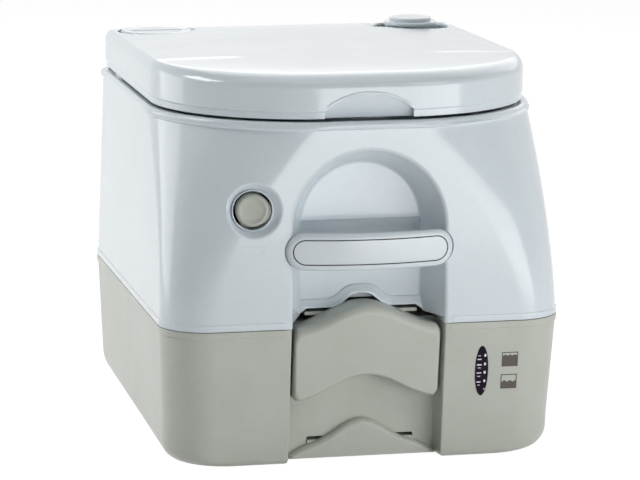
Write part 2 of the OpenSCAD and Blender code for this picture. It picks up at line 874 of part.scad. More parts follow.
module upper_shell() {
  color(white)
  difference() {
    union() {
      difference() {
        upper_form(0, 0);
        upper_form(wall, over);
      }
      intersection() {
        upper_form(wall / 2, 0);
        union() {
          upper_recess(wall);
          at_button() translate([0, 0, -well_d]) cylinder(r = dish_r + wall, h = 2 * well_d);
          translate([0, bar_back + wall, bar_z]) rotate([90, 0, 0])
            linear_extrude(4 * wall) bar_outline(bar_w + 2 * wall, bar_h + 2 * wall);
        }
      }
    }
    translate([0, 0, deck_z]) linear_extrude(2 * deck_drop) polygon(rim_plan(rim_land - lip_out));
    upper_recess(0);
    blade_opening();
    bar_pocket();
    at_button() {
      translate([0, 0, -dish_d])
        cylinder(r1 = bezel_r + fit, r2 = dish_r + dish_r - bezel_r, h = 2 * dish_d);
      translate([0, 0, -2 * well_d]) cylinder(r = bezel_r + fit, h = 2 * well_d);
    }
    translate([0, 0, deck_z - 2 * wall]) linear_extrude(4 * wall) polygon(oval(bowl_w, bowl_d, bowl_y));
    translate([corner_x, corner_y, deck_z - 2 * wall]) cylinder(r = barrel_r - wall, h = 4 * wall);
    translate([-corner_x, corner_y, deck_z - 2 * wall]) cylinder(r = neck_r + fit, h = 4 * wall);
  }
}

outlet_r = valve_bore / 2;
module upper_floor() {
  color(white)
  difference() {
    translate([0, 0, floor_z]) linear_extrude(wall)
      polygon(wall_plan((floor_rise + wall) / upper_h, wall + gap));
    translate([0, 0, floor_z - over]) linear_extrude(wall + 2 * over) recess_plan(recess_draft, wall + gap);
    at_valve() translate([0, 0, floor_z - over])
      cylinder(r = outlet_r + fit, h = wall + 2 * over);
  }
}

// Bowl: oval mouth blending into a round outlet
bowl_low = valve_top + gasket_t + gap;
neck_run = 4;
bowl_neck = floor_z + wall + neck_run;
bowl_curve = 1.6;
function bowl_ring(t, z, grow) =
  let (s = pow(t, bowl_curve), r = 2 * outlet_r)
  raise(oval(mix(bowl_w, r, s) + 2 * grow, mix(bowl_d, r, s) + 2 * grow, mix(bowl_y, valve_y, s)), z);
module bowl_form(grow, top, low) {
  loft(concat(
    [bowl_ring(1, low, grow)],
    [for (t = [1 : -0.125 : 0]) bowl_ring(t, mix(deck_z - wall, bowl_neck, t), grow)],
    [bowl_ring(0, top, grow)]
  ));
}

module bowl() {
  color(white)
  difference() {
    union() {
      bowl_form(-fit, deck_z + over, bowl_low);
      translate([0, 0, deck_z]) linear_extrude(flange_t)
        polygon(oval(bowl_w + 2 * flange_w, bowl_d + 2 * flange_w, bowl_y));
    }
    bowl_form(-bowl_wall, deck_z + flange_t + over, bowl_low - over);
    at_nozzle() translate([0, 0, -over]) cylinder(r = nozzle_r + fit, h = nozzle_l + over);
  }
}

module bowl_gasket() {
  color(rubber)
  at_valve() translate([0, 0, bowl_low - gasket_t]) difference() {
    cylinder(r = outlet_r + 2 * bowl_wall, h = gasket_t);
    translate([0, 0, -over]) cylinder(r = outlet_r - bowl_wall, h = gasket_t + 2 * over);
  }
}

// Bar across the recess and the plate let into it
module front_handle() {
  color(white)
  difference() {
    bar_form(bar_w, bar_h, 0, bar_t, 0);
    bar_form(label_w, label_h, -(bar_t - label_t), bar_t + over, 0);
  }
}

module handle_label() {
  color("#E9ECEE") bar_form(label_w, label_h, -(bar_t - label_t), bar_t, -gap);
}

// Flush valve behind the button
valve_l = 42;
stem_r = 4;
module button_bezel() {
  proud = 1;
  color(white)
  at_button() difference() {
    translate([0, 0, -well_d]) cylinder(r = bezel_r, h = well_d + proud);
    translate([0, 0, -well_d - over]) cylinder(r = button_r + gap, h = 2 * well_d);
  }
}

cup_spare = 6;
cup_d = button_travel + cup_spare;
module flush_valve() {
  color("#C9CCCB")
  at_button() difference() {
    translate([0, 0, -well_d - valve_l]) cylinder(r = bezel_r, h = valve_l);
    translate([0, 0, -well_d - cup_d]) cylinder(r = button_r + gap, h = cup_d + over);
    translate([0, 0, -well_d - valve_l - over]) cylinder(r = stem_r + fit, h = valve_l);
  }
}

module flush_button() {
  proud = 2.5;
  color(beige)
  at_button() {
    translate([0, 0, gap - well_d]) cylinder(r = button_r, h = well_d + proud - gap);
    translate([0, 0, gap - well_d - cup_d - button_travel]) cylinder(r = stem_r, h = cup_d + button_travel);
  }
}

module button_spring() {
  coil = 1.5;
  coil_r = button_r - 2;
  color(steel)
  at_button() translate([0, 0, gap / 2 - well_d - cup_d]) difference() {
    cylinder(r = coil_r, h = cup_d);
    translate([0, 0, -over]) cylinder(r = coil_r - coil, h = cup_d + 2 * over);
  }
}

tube_r = 5;
tube_wall = 1.5;
tube_foot = 2;
tube_in = well_d + valve_l - bezel_r / 2;
module at_tubes() {
  translate([
    -button_x + tube_in * sin(button_turn), button_y + tube_in * cos(button_turn), tank_h + button_rise
  ]) children();
}

module pickup_tube() {
  low = floor_z + wall + tube_foot;
  high = tank_h + button_rise - bezel_r - gap;
  color("#D8DAD8")
  at_tubes() translate([0, 0, low - tank_h - button_rise]) difference() {
    cylinder(r = tube_r, h = high - low);
    translate([0, 0, -over]) cylinder(r = tube_r - tube_wall, h = high - low + 2 * over);
  }
}

nozzle_drop = 12;
nozzle_z = deck_z - wall - nozzle_drop;
nozzle_r = 6;
nozzle_wall = 2;
nozzle_reach = 8;
module flush_hose() {
  low = tank_h + button_rise + bezel_r + gap;
  color("#D8DAD8")
  at_tubes() translate([0, 0, low - tank_h - button_rise]) difference() {
    cylinder(r = tube_r, h = nozzle_z - nozzle_r - gap - low);
    translate([0, 0, -over]) cylinder(r = tube_r - tube_wall, h = nozzle_z - low);
  }
}

// Nozzle from the hose to the bowl, level, aimed at the middle of the bowl's mouth
tube_x = -button_x + tube_in * sin(button_turn);
tube_y = button_y + tube_in * cos(button_turn);
nozzle_turn = atan2(bowl_y - tube_y, -tube_x);
nozzle_run = norm([tube_x, bowl_y - tube_y]);
bowl_edge = 1 / norm([2 * cos(nozzle_turn) / bowl_w, 2 * sin(nozzle_turn) / bowl_d]);
nozzle_l = nozzle_run - bowl_edge + nozzle_r + nozzle_reach;
module at_nozzle() {
  translate([tube_x, tube_y, nozzle_z]) rotate(nozzle_turn) rotate([0, 90, 0]) children();
}

module rinse_nozzle() {
  color("#C9CCCB")
  at_nozzle() difference() {
    translate([0, 0, -nozzle_r]) cylinder(r = nozzle_r, h = nozzle_l + nozzle_r);
    cylinder(r = nozzle_r - nozzle_wall, h = nozzle_l + over);
  }
}

// Hand pump at the right rear corner
module at_pump() {
  translate([corner_x, corner_y, 0]) children();
}

module pump_collar() {
  color(white)
  at_pump() translate([0, 0, deck_z]) difference() {
    cylinder(r = pump_collar_r, h = pump_collar_h);
    translate([0, 0, -over]) cylinder(r = rod_r + fit, h = pump_collar_h + 2 * over);
  }
}

piston_h = 14;
piston_low = 2;
barrel_top = deck_z - wall;
barrel_l = barrel_top - floor_z - wall - barrel_foot;
piston_z = barrel_top - barrel_l + wall + piston_low;
module pump_barrel() {
  color("#C9CCCB")
  at_pump() translate([0, 0, barrel_top - barrel_l]) difference() {
    cylinder(r = barrel_r, h = barrel_l);
    translate([0, 0, wall]) cylinder(r = barrel_r - wall, h = barrel_l);
  }
}

knob_low = deck_z + pump_collar_h + gap;
knob_top = rim_z + knob_h;
module pump_knob() {
  ribs = 12;
  rib_r = 1.5;
  stem_in = 3;
  ring_low = knob_top - knob_step - knob_ring;
  color(white)
  at_pump() {
    rotate_extrude() {
      translate([0, knob_low]) square([knob_r - stem_in, knob_top - knob_step - knob_low]);
      translate([0, ring_low]) square([knob_r, knob_ring]);
      translate([0, ring_low]) square([knob_top_r, knob_top - ring_low]);
    }
    for (i = [0 : ribs - 1])
      rotate(360 / ribs * i) translate([knob_r - stem_in, 0, knob_low])
        cylinder(r = rib_r, h = ring_low - knob_low + over);
  }
}

// Rod with a stop that meets the collar at the end of the stroke
module pump_rod() {
  foot = piston_z + piston_h;
  color(steel)
  at_pump() translate([0, 0, foot]) {
    cylinder(r = rod_r, h = knob_low - foot);
    cylinder(r = rod_r + rod_stop, h = deck_z - pump_stroke - gap - foot);
  }
}

piston_play = 1.5;
piston_r = barrel_r - wall - piston_play;
groove_h = 4;
groove_d = 3;
module pump_piston() {
  color(dark)
  at_pump() translate([0, 0, piston_z]) difference() {
    cylinder(r = piston_r, h = piston_h);
    translate([0, 0, (piston_h - groove_h) / 2]) difference() {
      cylinder(r = piston_r + over, h = groove_h);
      translate([0, 0, -over]) cylinder(r = piston_r - groove_d, h = groove_h + 2 * over);
    }
  }
}

module piston_seal() {
  color(rubber)
  at_pump() translate([0, 0, piston_z + (piston_h - groove_h) / 2]) difference() {
    cylinder(r = barrel_r - wall - fit, h = groove_h);
    translate([0, 0, -over]) cylinder(r = piston_r - groove_d, h = groove_h + 2 * over);
  }
}

// Filler at the left rear corner
module at_filler() {
  translate([-corner_x, corner_y, 0]) children();
}

neck_wall = 3;
neck_shoulder = 3;
neck_top = deck_z + neck_h;
module filler_neck() {
  drop = 15;
  color(white)
  at_filler() difference() {
    union() {
      translate([0, 0, deck_z - drop]) cylinder(r = neck_r, h = drop + neck_h);
      translate([0, 0, deck_z]) cylinder(r = cap_r, h = neck_shoulder);
    }
    translate([0, 0, deck_z - drop - over]) cylinder(r = neck_r - neck_wall, h = drop + neck_h + 2 * over);
  }
}

cap_low = deck_z + neck_shoulder + gap;
cap_seal_t = 1.2;
cap_top_t = 3;
module filler_cap() {
  top = neck_top + gap + cap_seal_t;
  ribs = 24;
  rib_r = 2;
  rib_out = 1;
  grip_in = 4;
  grip_w = 8;
  color(white)
  at_filler() {
    difference() {
      translate([0, 0, cap_low]) cylinder(r = cap_r, h = top + cap_top_t - cap_low);
      translate([0, 0, cap_low - over]) cylinder(r = neck_r + fit, h = top - cap_low + over);
      for (i = [0 : ribs - 1])
        rotate(360 / ribs * i) translate([cap_r + rib_out, 0, cap_low - over])
          cylinder(r = rib_r, h = neck_h);
    }
    translate([grip_in - cap_r, -grip_w / 2, top + cap_top_t])
      cube([2 * cap_r - 2 * grip_in, grip_w, grip_h]);
  }
}

module filler_seal() {
  color(rubber)
  at_filler() translate([0, 0, neck_top + gap]) difference() {
    cylinder(r = neck_r, h = cap_seal_t);
    translate([0, 0, -over]) cylinder(r = neck_r - neck_wall, h = cap_seal_t + 2 * over);
  }
}

// Hinge of seat and lid
module knuckle(x, w) {
  translate([x - w / 2, hinge_y, hinge_z]) rotate([0, 90, 0]) cylinder(r = knuckle_r, h = w);
}

pin_half = lid_knuckle_x + lid_knuckle_w / 2;
module pin_bore() {
  translate([-pin_half - over, hinge_y, hinge_z]) rotate([0, 90, 0])
    cylinder(r = pin_r + fit, h = 2 * pin_half + 2 * over);
}

module hinge_bracket() {
  foot_t = 3;
  foot_w = 2 * ear_x + ear_w;
  color(white)
  difference() {
    union() {
      translate([-foot_w / 2, hinge_y - knuckle_r, deck_z]) cube([foot_w, 2 * knuckle_r, foot_t]);
      for (x = [-ear_x, ear_x]) {
        knuckle(x, ear_w);
        translate([x - ear_w / 2, hinge_y - knuckle_r, deck_z])
          cube([ear_w, 2 * knuckle_r, hinge_z - deck_z]);
      }
    }
    pin_bore();
  }
}

module hinge_pin() {
  color(steel)
  translate([-pin_half, hinge_y, hinge_z]) rotate([0, 90, 0]) cylinder(r = pin_r, h = 2 * pin_half);
}

// Seat ring, crowned, with arms to the hinge pin
seat_inset = lid_inset + lid_wall + seat_gap;
seat_rear_gap = 2;
seat_rear = hinge_y - knuckle_r - seat_rear_gap;
seat_edge = 1.5;
seat_flare = 6;
corner_clear = corner_r + lid_wall + seat_gap;
function seat_plan(inset) =
  plan(rim_w - 2 * seat_inset, front_y + seat_inset, seat_rear, rim_front_r - seat_inset, rear_r, inset);
module seat_form() {
  loft(concat(
    [raise(seat_plan(seat_edge), seat_z), raise(seat_plan(0), seat_z + seat_edge)],
    [
      for (a = [0 : 22.5 : 90])
        raise(seat_plan(2 * seat_round * (1 - cos(a))), seat_top - seat_round * (1 - sin(a)))
    ]
  ));
}

module seat_opening() {
  loft(concat(
    [raise(oval(seat_open_w + seat_flare, seat_open_d + seat_flare, bowl_y), seat_z - over)],
    [raise(oval(seat_open_w, seat_open_d, bowl_y), seat_z + seat_t / 3)],
    [
      for (a = [0 : 22.5 : 90])
        let (s = 4 * seat_round * (1 - cos(a)))
        raise(oval(seat_open_w + s, seat_open_d + s, bowl_y), seat_top - seat_round * (1 - sin(a)))
    ],
    [raise(oval(seat_open_w + 4 * seat_round, seat_open_d + 4 * seat_round, bowl_y), seat_top + over)]
  ));
}

module seat() {
  reach = 4 * knuckle_r;
  arm_drop = 1;
  color(white)
  difference() {
    union() {
      difference() {
        seat_form();
        seat_opening();
        scoop_liner(2 * gap);
        for (x = [-corner_x, corner_x])
          translate([x, corner_y, seat_z - over]) cylinder(r = corner_clear, h = seat_t + 2 * over);
      }
      for (x = [-seat_knuckle_x, seat_knuckle_x]) {
        knuckle(x, seat_knuckle_w);
        translate([x - seat_knuckle_w / 2, hinge_y - reach, hinge_z - knuckle_r])
          cube([seat_knuckle_w, reach, 2 * knuckle_r - arm_drop]);
      }
    }
    pin_bore();
  }
}

module at_bumpers() {
  side = bowl_w / 2 + flange_w + bumper_gap + bumper_d / 2;
  for (x = [-side, side], y = [-bumper_pitch / 2, bumper_pitch / 2])
    translate([x, bowl_y + y, 0]) children();
}

module seat_bumpers() {
  color(rubber)
  at_bumpers() translate([0, 0, deck_z + gap]) cylinder(d = bumper_d, h = seat_z - deck_z - gap);
}

// Lid with openings round the pump and the filler
function lid_plan(inset) = rim_plan(lid_inset + inset);
module lid_form(inset) {
  edge = lid_z + lid_side;
  crown_in = 45;
  foot = inset > 0 ? [raise(lid_plan(inset), lid_z - over)] : [
    raise(lid_plan(lid_band_in), lid_z),
    raise(lid_plan(lid_band_in), lid_z + lid_band_h),
    raise(lid_plan(0), lid_z + lid_band_h)
  ];
  crown = inset > 0 ? [] : [
    raise(lid_plan(crown_in), lid_top - lid_crown / 4),
    raise(lid_plan(2 * crown_in), lid_top)
  ];
  loft(concat(
    foot,
    [
      for (a = [0 : 22.5 : 90])
        raise(lid_plan(inset + (lid_round - inset) * (1 - cos(a))), edge + (lid_round - inset) * sin(a))
    ],
    crown
  ));
}

// Finger scoop: an arch that deepens towards its lower edge
module lid_scoop(grow) {
  arch_r = (pow(notch_w / 2, 2) + pow(notch_arch, 2)) / (2 * notch_arch);
  lean = atan(notch_d / notch_h);
  translate([0, front_y + lid_inset, lid_z + notch_h]) rotate([lean, 0, 0])
    intersection() {
      translate([-notch_w / 2 - grow, -2 * notch_d, -2 * notch_h])
        cube([notch_w + 2 * grow, 2 * notch_d + grow, 2 * notch_h + grow]);
      translate([0, -2 * notch_d, -arch_r]) rotate([-90, 0, 0])
        cylinder(r = arch_r + grow, h = 2 * notch_d + grow, $fn = 128);
    }
}

// Wall behind the scoop, open below so that the seat's edge shows
module scoop_liner(grow) {
  deep = 4 * notch_d;
  intersection() {
    lid_scoop(lid_wall + grow);
    translate([-notch_w, front_y - deep, lid_z + notch_open - grow])
      cube([2 * notch_w, 2 * deep, 2 * notch_h]);
  }
}

// Its rear edge is cut high so that it swings over the pump and the filler
module lid() {
  notch_rise = 1.6 * knuckle_r;
  notch_half = corner_x + cap_r + lid_wall / 2;
  color(white)
  difference() {
    union() {
      difference() {
        lid_form(0);
        lid_form(lid_wall);
        translate([-notch_half, hinge_y - knuckle_r, lid_z - over])
          cube([2 * notch_half, 2 * hinge_in, hinge_z - lid_z + notch_rise + over]);
      }
      intersection() {
        lid_form(lid_wall / 2);
        union() {
          scoop_liner(0);
          for (x = [-lid_knuckle_x, lid_knuckle_x]) {
            knuckle(x, lid_knuckle_w);
            translate([x - lid_knuckle_w / 2, hinge_y - knuckle_r, hinge_z])
              cube([lid_knuckle_w, 2 * knuckle_r, lid_top]);
          }
        }
      }
    }
    lid_scoop(0);
    for (x = [-corner_x, corner_x])
      translate([x, corner_y, hinge_z]) cylinder(r = corner_r, h = lid_top);
    pin_bore();
  }
}

module lid_bumpers() {
  color(rubber)
  at_bumpers() translate([0, 0, seat_top + gap]) cylinder(d = bumper_d, h = ceiling_z - seat_top - gap);
}

waste_tank();
valve_base();
valve_cover();
valve_seal();
valve_screws();
level_lens();
lens_gasket();
spout_collar();
valve_handle();
valve_blade();
handle_screws();
base_latch();
latch_spring();
pour_spout();
spout_cap();
cap_seal();
upper_shell();
upper_floor();
bowl();
bowl_gasket();
front_handle();
handle_label();
button_bezel();
flush_valve();
pickup_tube();
flush_hose();
rinse_nozzle();
pump_collar();
pump_barrel();
filler_neck();
hinge_bracket();
hinge_pin();
flush_button();
button_spring();
pump_knob();
pump_rod();
pump_piston();
piston_seal();
filler_cap();
filler_seal();
seat();
seat_bumpers();
lid();
lid_bumpers();
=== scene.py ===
import json
import math
import bmesh
import bpy
from mathutils import Matrix, Vector


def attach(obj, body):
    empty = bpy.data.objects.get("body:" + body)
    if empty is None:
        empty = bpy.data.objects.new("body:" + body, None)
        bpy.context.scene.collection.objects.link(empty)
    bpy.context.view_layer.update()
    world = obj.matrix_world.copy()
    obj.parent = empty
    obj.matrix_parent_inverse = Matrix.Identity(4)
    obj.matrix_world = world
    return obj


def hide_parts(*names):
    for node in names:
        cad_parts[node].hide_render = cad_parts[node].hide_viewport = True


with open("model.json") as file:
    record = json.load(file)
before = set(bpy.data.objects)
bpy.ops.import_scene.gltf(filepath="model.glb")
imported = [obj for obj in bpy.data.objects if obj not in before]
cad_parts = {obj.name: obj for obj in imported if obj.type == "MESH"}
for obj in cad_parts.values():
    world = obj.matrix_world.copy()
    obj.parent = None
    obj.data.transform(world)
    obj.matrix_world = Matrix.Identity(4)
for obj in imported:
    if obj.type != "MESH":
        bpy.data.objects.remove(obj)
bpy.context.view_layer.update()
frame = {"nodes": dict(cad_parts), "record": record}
scene = bpy.context.scene
scene.view_settings.view_transform = "Standard"
milli = 0.001
print("frame loaded:", len(frame["nodes"]), "nodes")


# wraps a shader socket, so that sums of sockets read as sums
class Wire:
    def __init__(self, tree, socket=None):
        self.tree = tree
        self.socket = socket

    def node(self, kind, settings=None, sockets=None, out=0):
        made = self.tree.nodes.new(kind)
        for name, value in (settings or {}).items():
            setattr(made, name, value)
        for name, value in (sockets or {}).items():
            if isinstance(value, Wire):
                self.tree.links.new(value.socket, made.inputs[name])
            else:
                made.inputs[name].default_value = value
        return Wire(self.tree, made.outputs[out])

    def sum(self, operation, other, clamp=False):
        return self.node("ShaderNodeMath", {"operation": operation, "use_clamp": clamp}, {0: self, 1: other})

    def __add__(self, other):
        return self.sum("ADD", other)

    def __mul__(self, other):
        return self.sum("MULTIPLY", other)


def noise(place, scale, detail, rough):
    return place.node(
        "ShaderNodeTexNoise", None, {"Vector": place, "Scale": scale, "Detail": detail, "Roughness": rough})


def moulded(name, look):
    material = bpy.data.materials.new(name)
    material.use_nodes = True
    tree = material.node_tree
    shader = tree.nodes["Principled BSDF"]
    for socket, value in look["fixed"].items():
        shader.inputs[socket].default_value = value
    place = Wire(tree).node("ShaderNodeTexCoord", out="Object")
    cloud = noise(place, look["cloudScale"], 4.0, 0.55)
    fleck = noise(place, look["fleckScale"], 2.0, 0.6)
    tone = cloud * look["cloudShare"] + fleck * (1 - look["cloudShare"])
    band = tone.node("ShaderNodeMapRange", None, {"Value": tone, "From Min": 0.3, "From Max": 0.7})
    colour = band.node(
        "ShaderNodeMix", {"data_type": "RGBA"}, {0: band, 6: (*look["dark"], 1), 7: (*look["light"], 1)}, out=2)
    # long faint rub marks in the gloss
    drawn = place.node("ShaderNodeMapping", None, {"Vector": place, "Scale": look["rubStretch"]})
    rub = noise(drawn, look["rubScale"], 5.0, 0.6)
    gloss = rub * look["roughSpread"] + (look["rough"] - look["roughSpread"] / 2)
    grain = noise(place, look["grainScale"], 2.0, 0.6)
    ripple = noise(place, look["rippleScale"], 1.0, 0.4)
    height = grain * look["grainShare"] + ripple * (1 - look["grainShare"])
    bump = height.node(
        "ShaderNodeBump", None, {"Height": height, "Strength": look["bump"], "Distance": look["bumpDepth"]})
    for socket, wire in (("Base Color", colour), ("Roughness", gloss), ("Normal", bump)):
        tree.links.new(wire.socket, shader.inputs[socket])
    return material


# what most finishes share; each one states what differs
plain = {"cloudShare": 0.5, "roughSpread": 0.10, "rubStretch": (1.0, 1.0, 1.0), "grainScale": 2600.0,
         "rippleScale": 600.0, "grainShare": 0.7, "bumpDepth": 0.0003, "fixed": {"IOR": 1.48}}
plastics = {
    "white_gloss": {
        "dark": (0.665, 0.735, 0.775), "light": (0.715, 0.785, 0.825), "cloudScale": 7.0, "fleckScale": 160.0,
        "cloudShare": 0.7, "rough": 0.16, "rubScale": 14.0, "rubStretch": (1.0, 1.0, 0.25), "grainScale": 1400.0,
        "rippleScale": 55.0, "grainShare": 0.35, "bump": 0.05, "bumpDepth": 0.0006,
        "fixed": {"IOR": 1.46, "Coat Weight": 0.12, "Coat Roughness": 0.04}},
    "label_white": {
        "dark": (0.70, 0.76, 0.785), "light": (0.74, 0.80, 0.82), "cloudScale": 18.0, "fleckScale": 400.0,
        "cloudShare": 0.6, "rough": 0.13, "roughSpread": 0.06, "rubScale": 60.0, "rubStretch": (0.2, 1.0, 1.0),
        "grainScale": 2200.0, "rippleScale": 120.0, "grainShare": 0.6, "bump": 0.06},
    "tan_satin": {
        "dark": (0.485, 0.51, 0.45), "light": (0.545, 0.565, 0.51), "cloudScale": 26.0, "fleckScale": 700.0,
        "cloudShare": 0.55, "rough": 0.34, "rubScale": 20.0, "rubStretch": (1.0, 1.0, 0.4), "grainScale": 1700.0,
        "rippleScale": 420.0, "bump": 0.22, "bumpDepth": 0.0005},
    "button_beige": {
        "dark": (0.45, 0.475, 0.415), "light": (0.50, 0.53, 0.47), "cloudScale": 60.0, "fleckScale": 900.0,
        "rough": 0.40, "rubScale": 50.0, "grainScale": 2200.0, "rippleScale": 500.0, "bump": 0.15,
        "bumpDepth": 0.0004},
    "lens_black": {
        "dark": (0.006, 0.004, 0.008), "light": (0.022, 0.014, 0.030), "cloudScale": 120.0, "fleckScale": 500.0,
        "cloudShare": 0.8, "rough": 0.10, "roughSpread": 0.08, "rubScale": 200.0, "grainScale": 1500.0,
        "rippleScale": 300.0, "grainShare": 0.3, "bump": 0.08, "fixed": {"Specular IOR Level": 0.08}},
    "inner_grey": {
        "dark": (0.53, 0.545, 0.545), "light": (0.60, 0.61, 0.605), "cloudScale": 30.0, "fleckScale": 500.0,
        "cloudShare": 0.6, "rough": 0.42, "roughSpread": 0.14, "rubScale": 40.0, "rubStretch": (1.0, 1.0, 0.3),
        "grainScale": 1500.0, "rippleScale": 300.0, "grainShare": 0.6, "bump": 0.12, "bumpDepth": 0.0004},
    # seal_rubber is the real rubber of the stops, and also the painted shade in the bar's groove
    "seal_rubber": {
        "dark": (0.028, 0.028, 0.027), "light": (0.055, 0.054, 0.052), "cloudScale": 50.0, "fleckScale": 1200.0,
        "rough": 0.72, "roughSpread": 0.16, "rubScale": 60.0, "bump": 0.3, "bumpDepth": 0.0004,
        "fixed": {"IOR": 1.5}},
    "steel": {
        "dark": (0.46, 0.47, 0.48), "light": (0.56, 0.565, 0.57), "cloudScale": 40.0, "fleckScale": 900.0,
        "cloudShare": 0.4, "rough": 0.30, "roughSpread": 0.14, "rubScale": 300.0, "rubStretch": (1.0, 1.0, 0.08),
        "rippleScale": 500.0, "bump": 0.12, "fixed": {"Metallic": 1.0}},
    "mark_brown": {
        "dark": (0.085, 0.068, 0.064), "light": (0.105, 0.086, 0.081), "cloudScale": 150.0, "fleckScale": 1500.0,
        "rough": 0.45, "rubScale": 100.0, "bump": 0.15},
    # mark_white paints the highlights of light on the level lens's ribs
    "mark_white": {
        "dark": (0.72, 0.70, 0.78), "light": (0.84, 0.83, 0.88), "cloudScale": 300.0, "fleckScale": 1500.0,
        "cloudShare": 0.6, "rough": 0.25, "rubScale": 200.0, "grainShare": 0.5, "bump": 0.08,
        "fixed": {"IOR": 1.5}},
}
finishes = {name: moulded(name, {**plain, **look}) for name, look in plastics.items()}
print("finishes made:", len(finishes))


# points and outlines, in millimetres
def mix(a, b, t):
    return a + (b - a) * t


def between(first, last, steps):
    return [mix(first, last, i / steps) for i in range(steps + 1)]


def clamp(value):
    return max(0.0, min(1.0, value))


def circle(steps):
    return [(math.cos(a), math.sin(a)) for a in [2 * math.pi * i / steps for i in range(steps)]]


def quarter(steps):
    # shares drawn in and still to rise, along a quarter round
    turns = [math.pi / 2 * i / steps for i in range(steps + 1)]
    return [(1 - math.cos(a), 1 - math.sin(a)) for a in turns]


def arcPoints(x, y, r, start, stop, steps):
    turns = [math.radians(a) for a in between(start, stop, steps)]
    return [(x + r * math.cos(a), y + r * math.sin(a)) for a in turns]


def boxOutline(half, low, high):
    return [(-half, low), (half, low), (half, high), (-half, high)]


def facing(outline, y):
    return [(x, y, z) for x, z in outline]


def lying(outline, z):
    return [(x, y, z) for x, y in outline]


def discRing(x, y, r, z, steps=72):
    return [(x + r * c, y + r * s, z) for c, s in circle(steps)]


def ovalRing(half, deep, y, z):
    return [(half * c, y + deep * s, z) for c, s in circle(96)]


def pipeRing(x, y, z, r, steps=64):
    return [(x, y + r * c, z + r * s) for c, s in circle(steps)]


def pillRing(half, tall, y, z, steps=16, runs=1):
    # pill outline in the front plane, its long sides cut into runs
    r, reach = tall / 2, half - tall / 2
    points = arcPoints(reach, 0, r, -90, 90, steps) + [(x, r) for x in between(reach, -reach, runs)[1:-1]]
    points += arcPoints(-reach, 0, r, 90, 270, steps) + [(x, -r) for x in between(-reach, reach, runs)[1:-1]]
    return [(x, y, z + up) for x, up in points]


def flutedRing(r, deep, count, z, place, steps=8):
    ring = []
    for i in range(count * steps):
        a = 2 * math.pi * i / (count * steps)
        dip = deep * (0.5 - 0.5 * math.cos(count * a)) ** 2
        ring.append(place @ Vector(((r - dip) * math.cos(a), (r - dip) * math.sin(a), z)))
    return ring


def softCorners(points, radii, steps=6):
    # corners of a closed outline rounded, with one radius or each with its own
    soft = []
    for i, corner in enumerate(points):
        r = radii[i] if isinstance(radii, list) else radii
        here, before, after = Vector(corner), Vector(points[i - 1]), Vector(points[(i + 1) % len(points)])
        a, b = (before - here).normalized(), (after - here).normalized()
        half = a.angle(b) / 2
        if r <= 0 or half > math.radians(89):
            soft.append(tuple(here))
            continue
        centre = here + (a + b).normalized() * (r / math.sin(half))
        start, stop = [here + way * (r / math.tan(half)) - centre for way in (a, b)]
        sweep = start.angle_signed(stop)
        soft += [tuple(centre + Matrix.Rotation(-sweep * k / steps, 2) @ start) for k in range(steps + 1)]
    return soft


# modelling helpers
def restart():
    if bpy.context.object and bpy.context.object.mode != "OBJECT":
        bpy.ops.object.mode_set(mode="OBJECT")
    bpy.ops.object.select_all(action="DESELECT")


def pick(piece):
    restart()
    piece.select_set(True)
    bpy.context.view_layer.objects.active = piece


def editStart(piece):
    pick(piece)
    bpy.ops.object.mode_set(mode="EDIT")
    bpy.ops.mesh.select_mode(type="FACE")
    bpy.ops.mesh.select_all(action="DESELECT")
    return bmesh.from_edit_mesh(piece.data)


def editEnd(piece):
    bmesh.update_edit_mesh(piece.data)
    bpy.ops.object.mode_set(mode="OBJECT")


def faceOutward():
    bpy.ops.mesh.select_all(action="SELECT")
    bpy.ops.mesh.normals_make_consistent(inside=False)


def loft(name, rings):
    # a filled circle takes the first ring's shape and is drawn on, ring after ring
    restart()
    bpy.ops.mesh.primitive_circle_add(vertices=len(rings[0]), radius=1, fill_type="NGON")
    piece = bpy.context.object
    piece.name = name
    bpy.ops.object.mode_set(mode="EDIT")
    last = None
    for ring in rings:
        if last:
            bpy.ops.mesh.extrude_region_move()
        mesh = bmesh.from_edit_mesh(piece.data)
        face = [f for f in mesh.faces if f.select][0]
        corners = [loop.vert for loop in face.loops]
        if last:
            start = min(range(len(corners)), key=lambda i: (corners[i].co - last[0]).length)
            corners = corners[start:] + corners[:start]
            if (corners[1].co - last[1]).length > (corners[-1].co - last[1]).length:
                corners = corners[:1] + corners[:0:-1]
        last = [Vector(point) * milli for point in ring]
        for corner, point in zip(corners, last):
            corner.co = point
        bmesh.update_edit_mesh(piece.data)
    faceOutward()
    bpy.ops.object.mode_set(mode="OBJECT")
    return piece


def turn(name, profile, steps, place):
    # a closed profile of (radius, height) is spun about the local upright
    restart()
    bpy.ops.mesh.primitive_circle_add(vertices=len(profile), radius=1, fill_type="NOTHING")
    piece = bpy.context.object
    piece.name = name
    for vert, (r, z) in zip(piece.data.vertices, profile):
        vert.co = (r * milli, 0, z * milli)
    bpy.ops.object.mode_set(mode="EDIT")
    bpy.ops.mesh.select_all(action="SELECT")
    bpy.ops.mesh.spin(steps=steps, angle=2 * math.pi, center=(0, 0, 0), axis=(0, 0, 1))
    bpy.ops.mesh.select_all(action="SELECT")
    bpy.ops.mesh.remove_doubles(threshold=1e-6)
    bpy.ops.mesh.normals_make_consistent(inside=False)
    bpy.ops.object.mode_set(mode="OBJECT")
    piece.matrix_world = place
    bpy.ops.object.transform_apply(location=True, rotation=True, scale=True)
    return piece


def addModifier(piece, kind, **settings):
    pick(piece)
    modifier = piece.modifiers.new(kind.lower(), kind)
    for name, value in settings.items():
        setattr(modifier, name, value)
    bpy.ops.object.modifier_apply(modifier=modifier.name)


def carve(piece, tool, how="DIFFERENCE"):
    addModifier(piece, "BOOLEAN", operation=how, object=tool, solver="EXACT")
    bpy.data.objects.remove(tool)


def cut(piece, rings):
    carve(piece, loft("cutTool", rings))


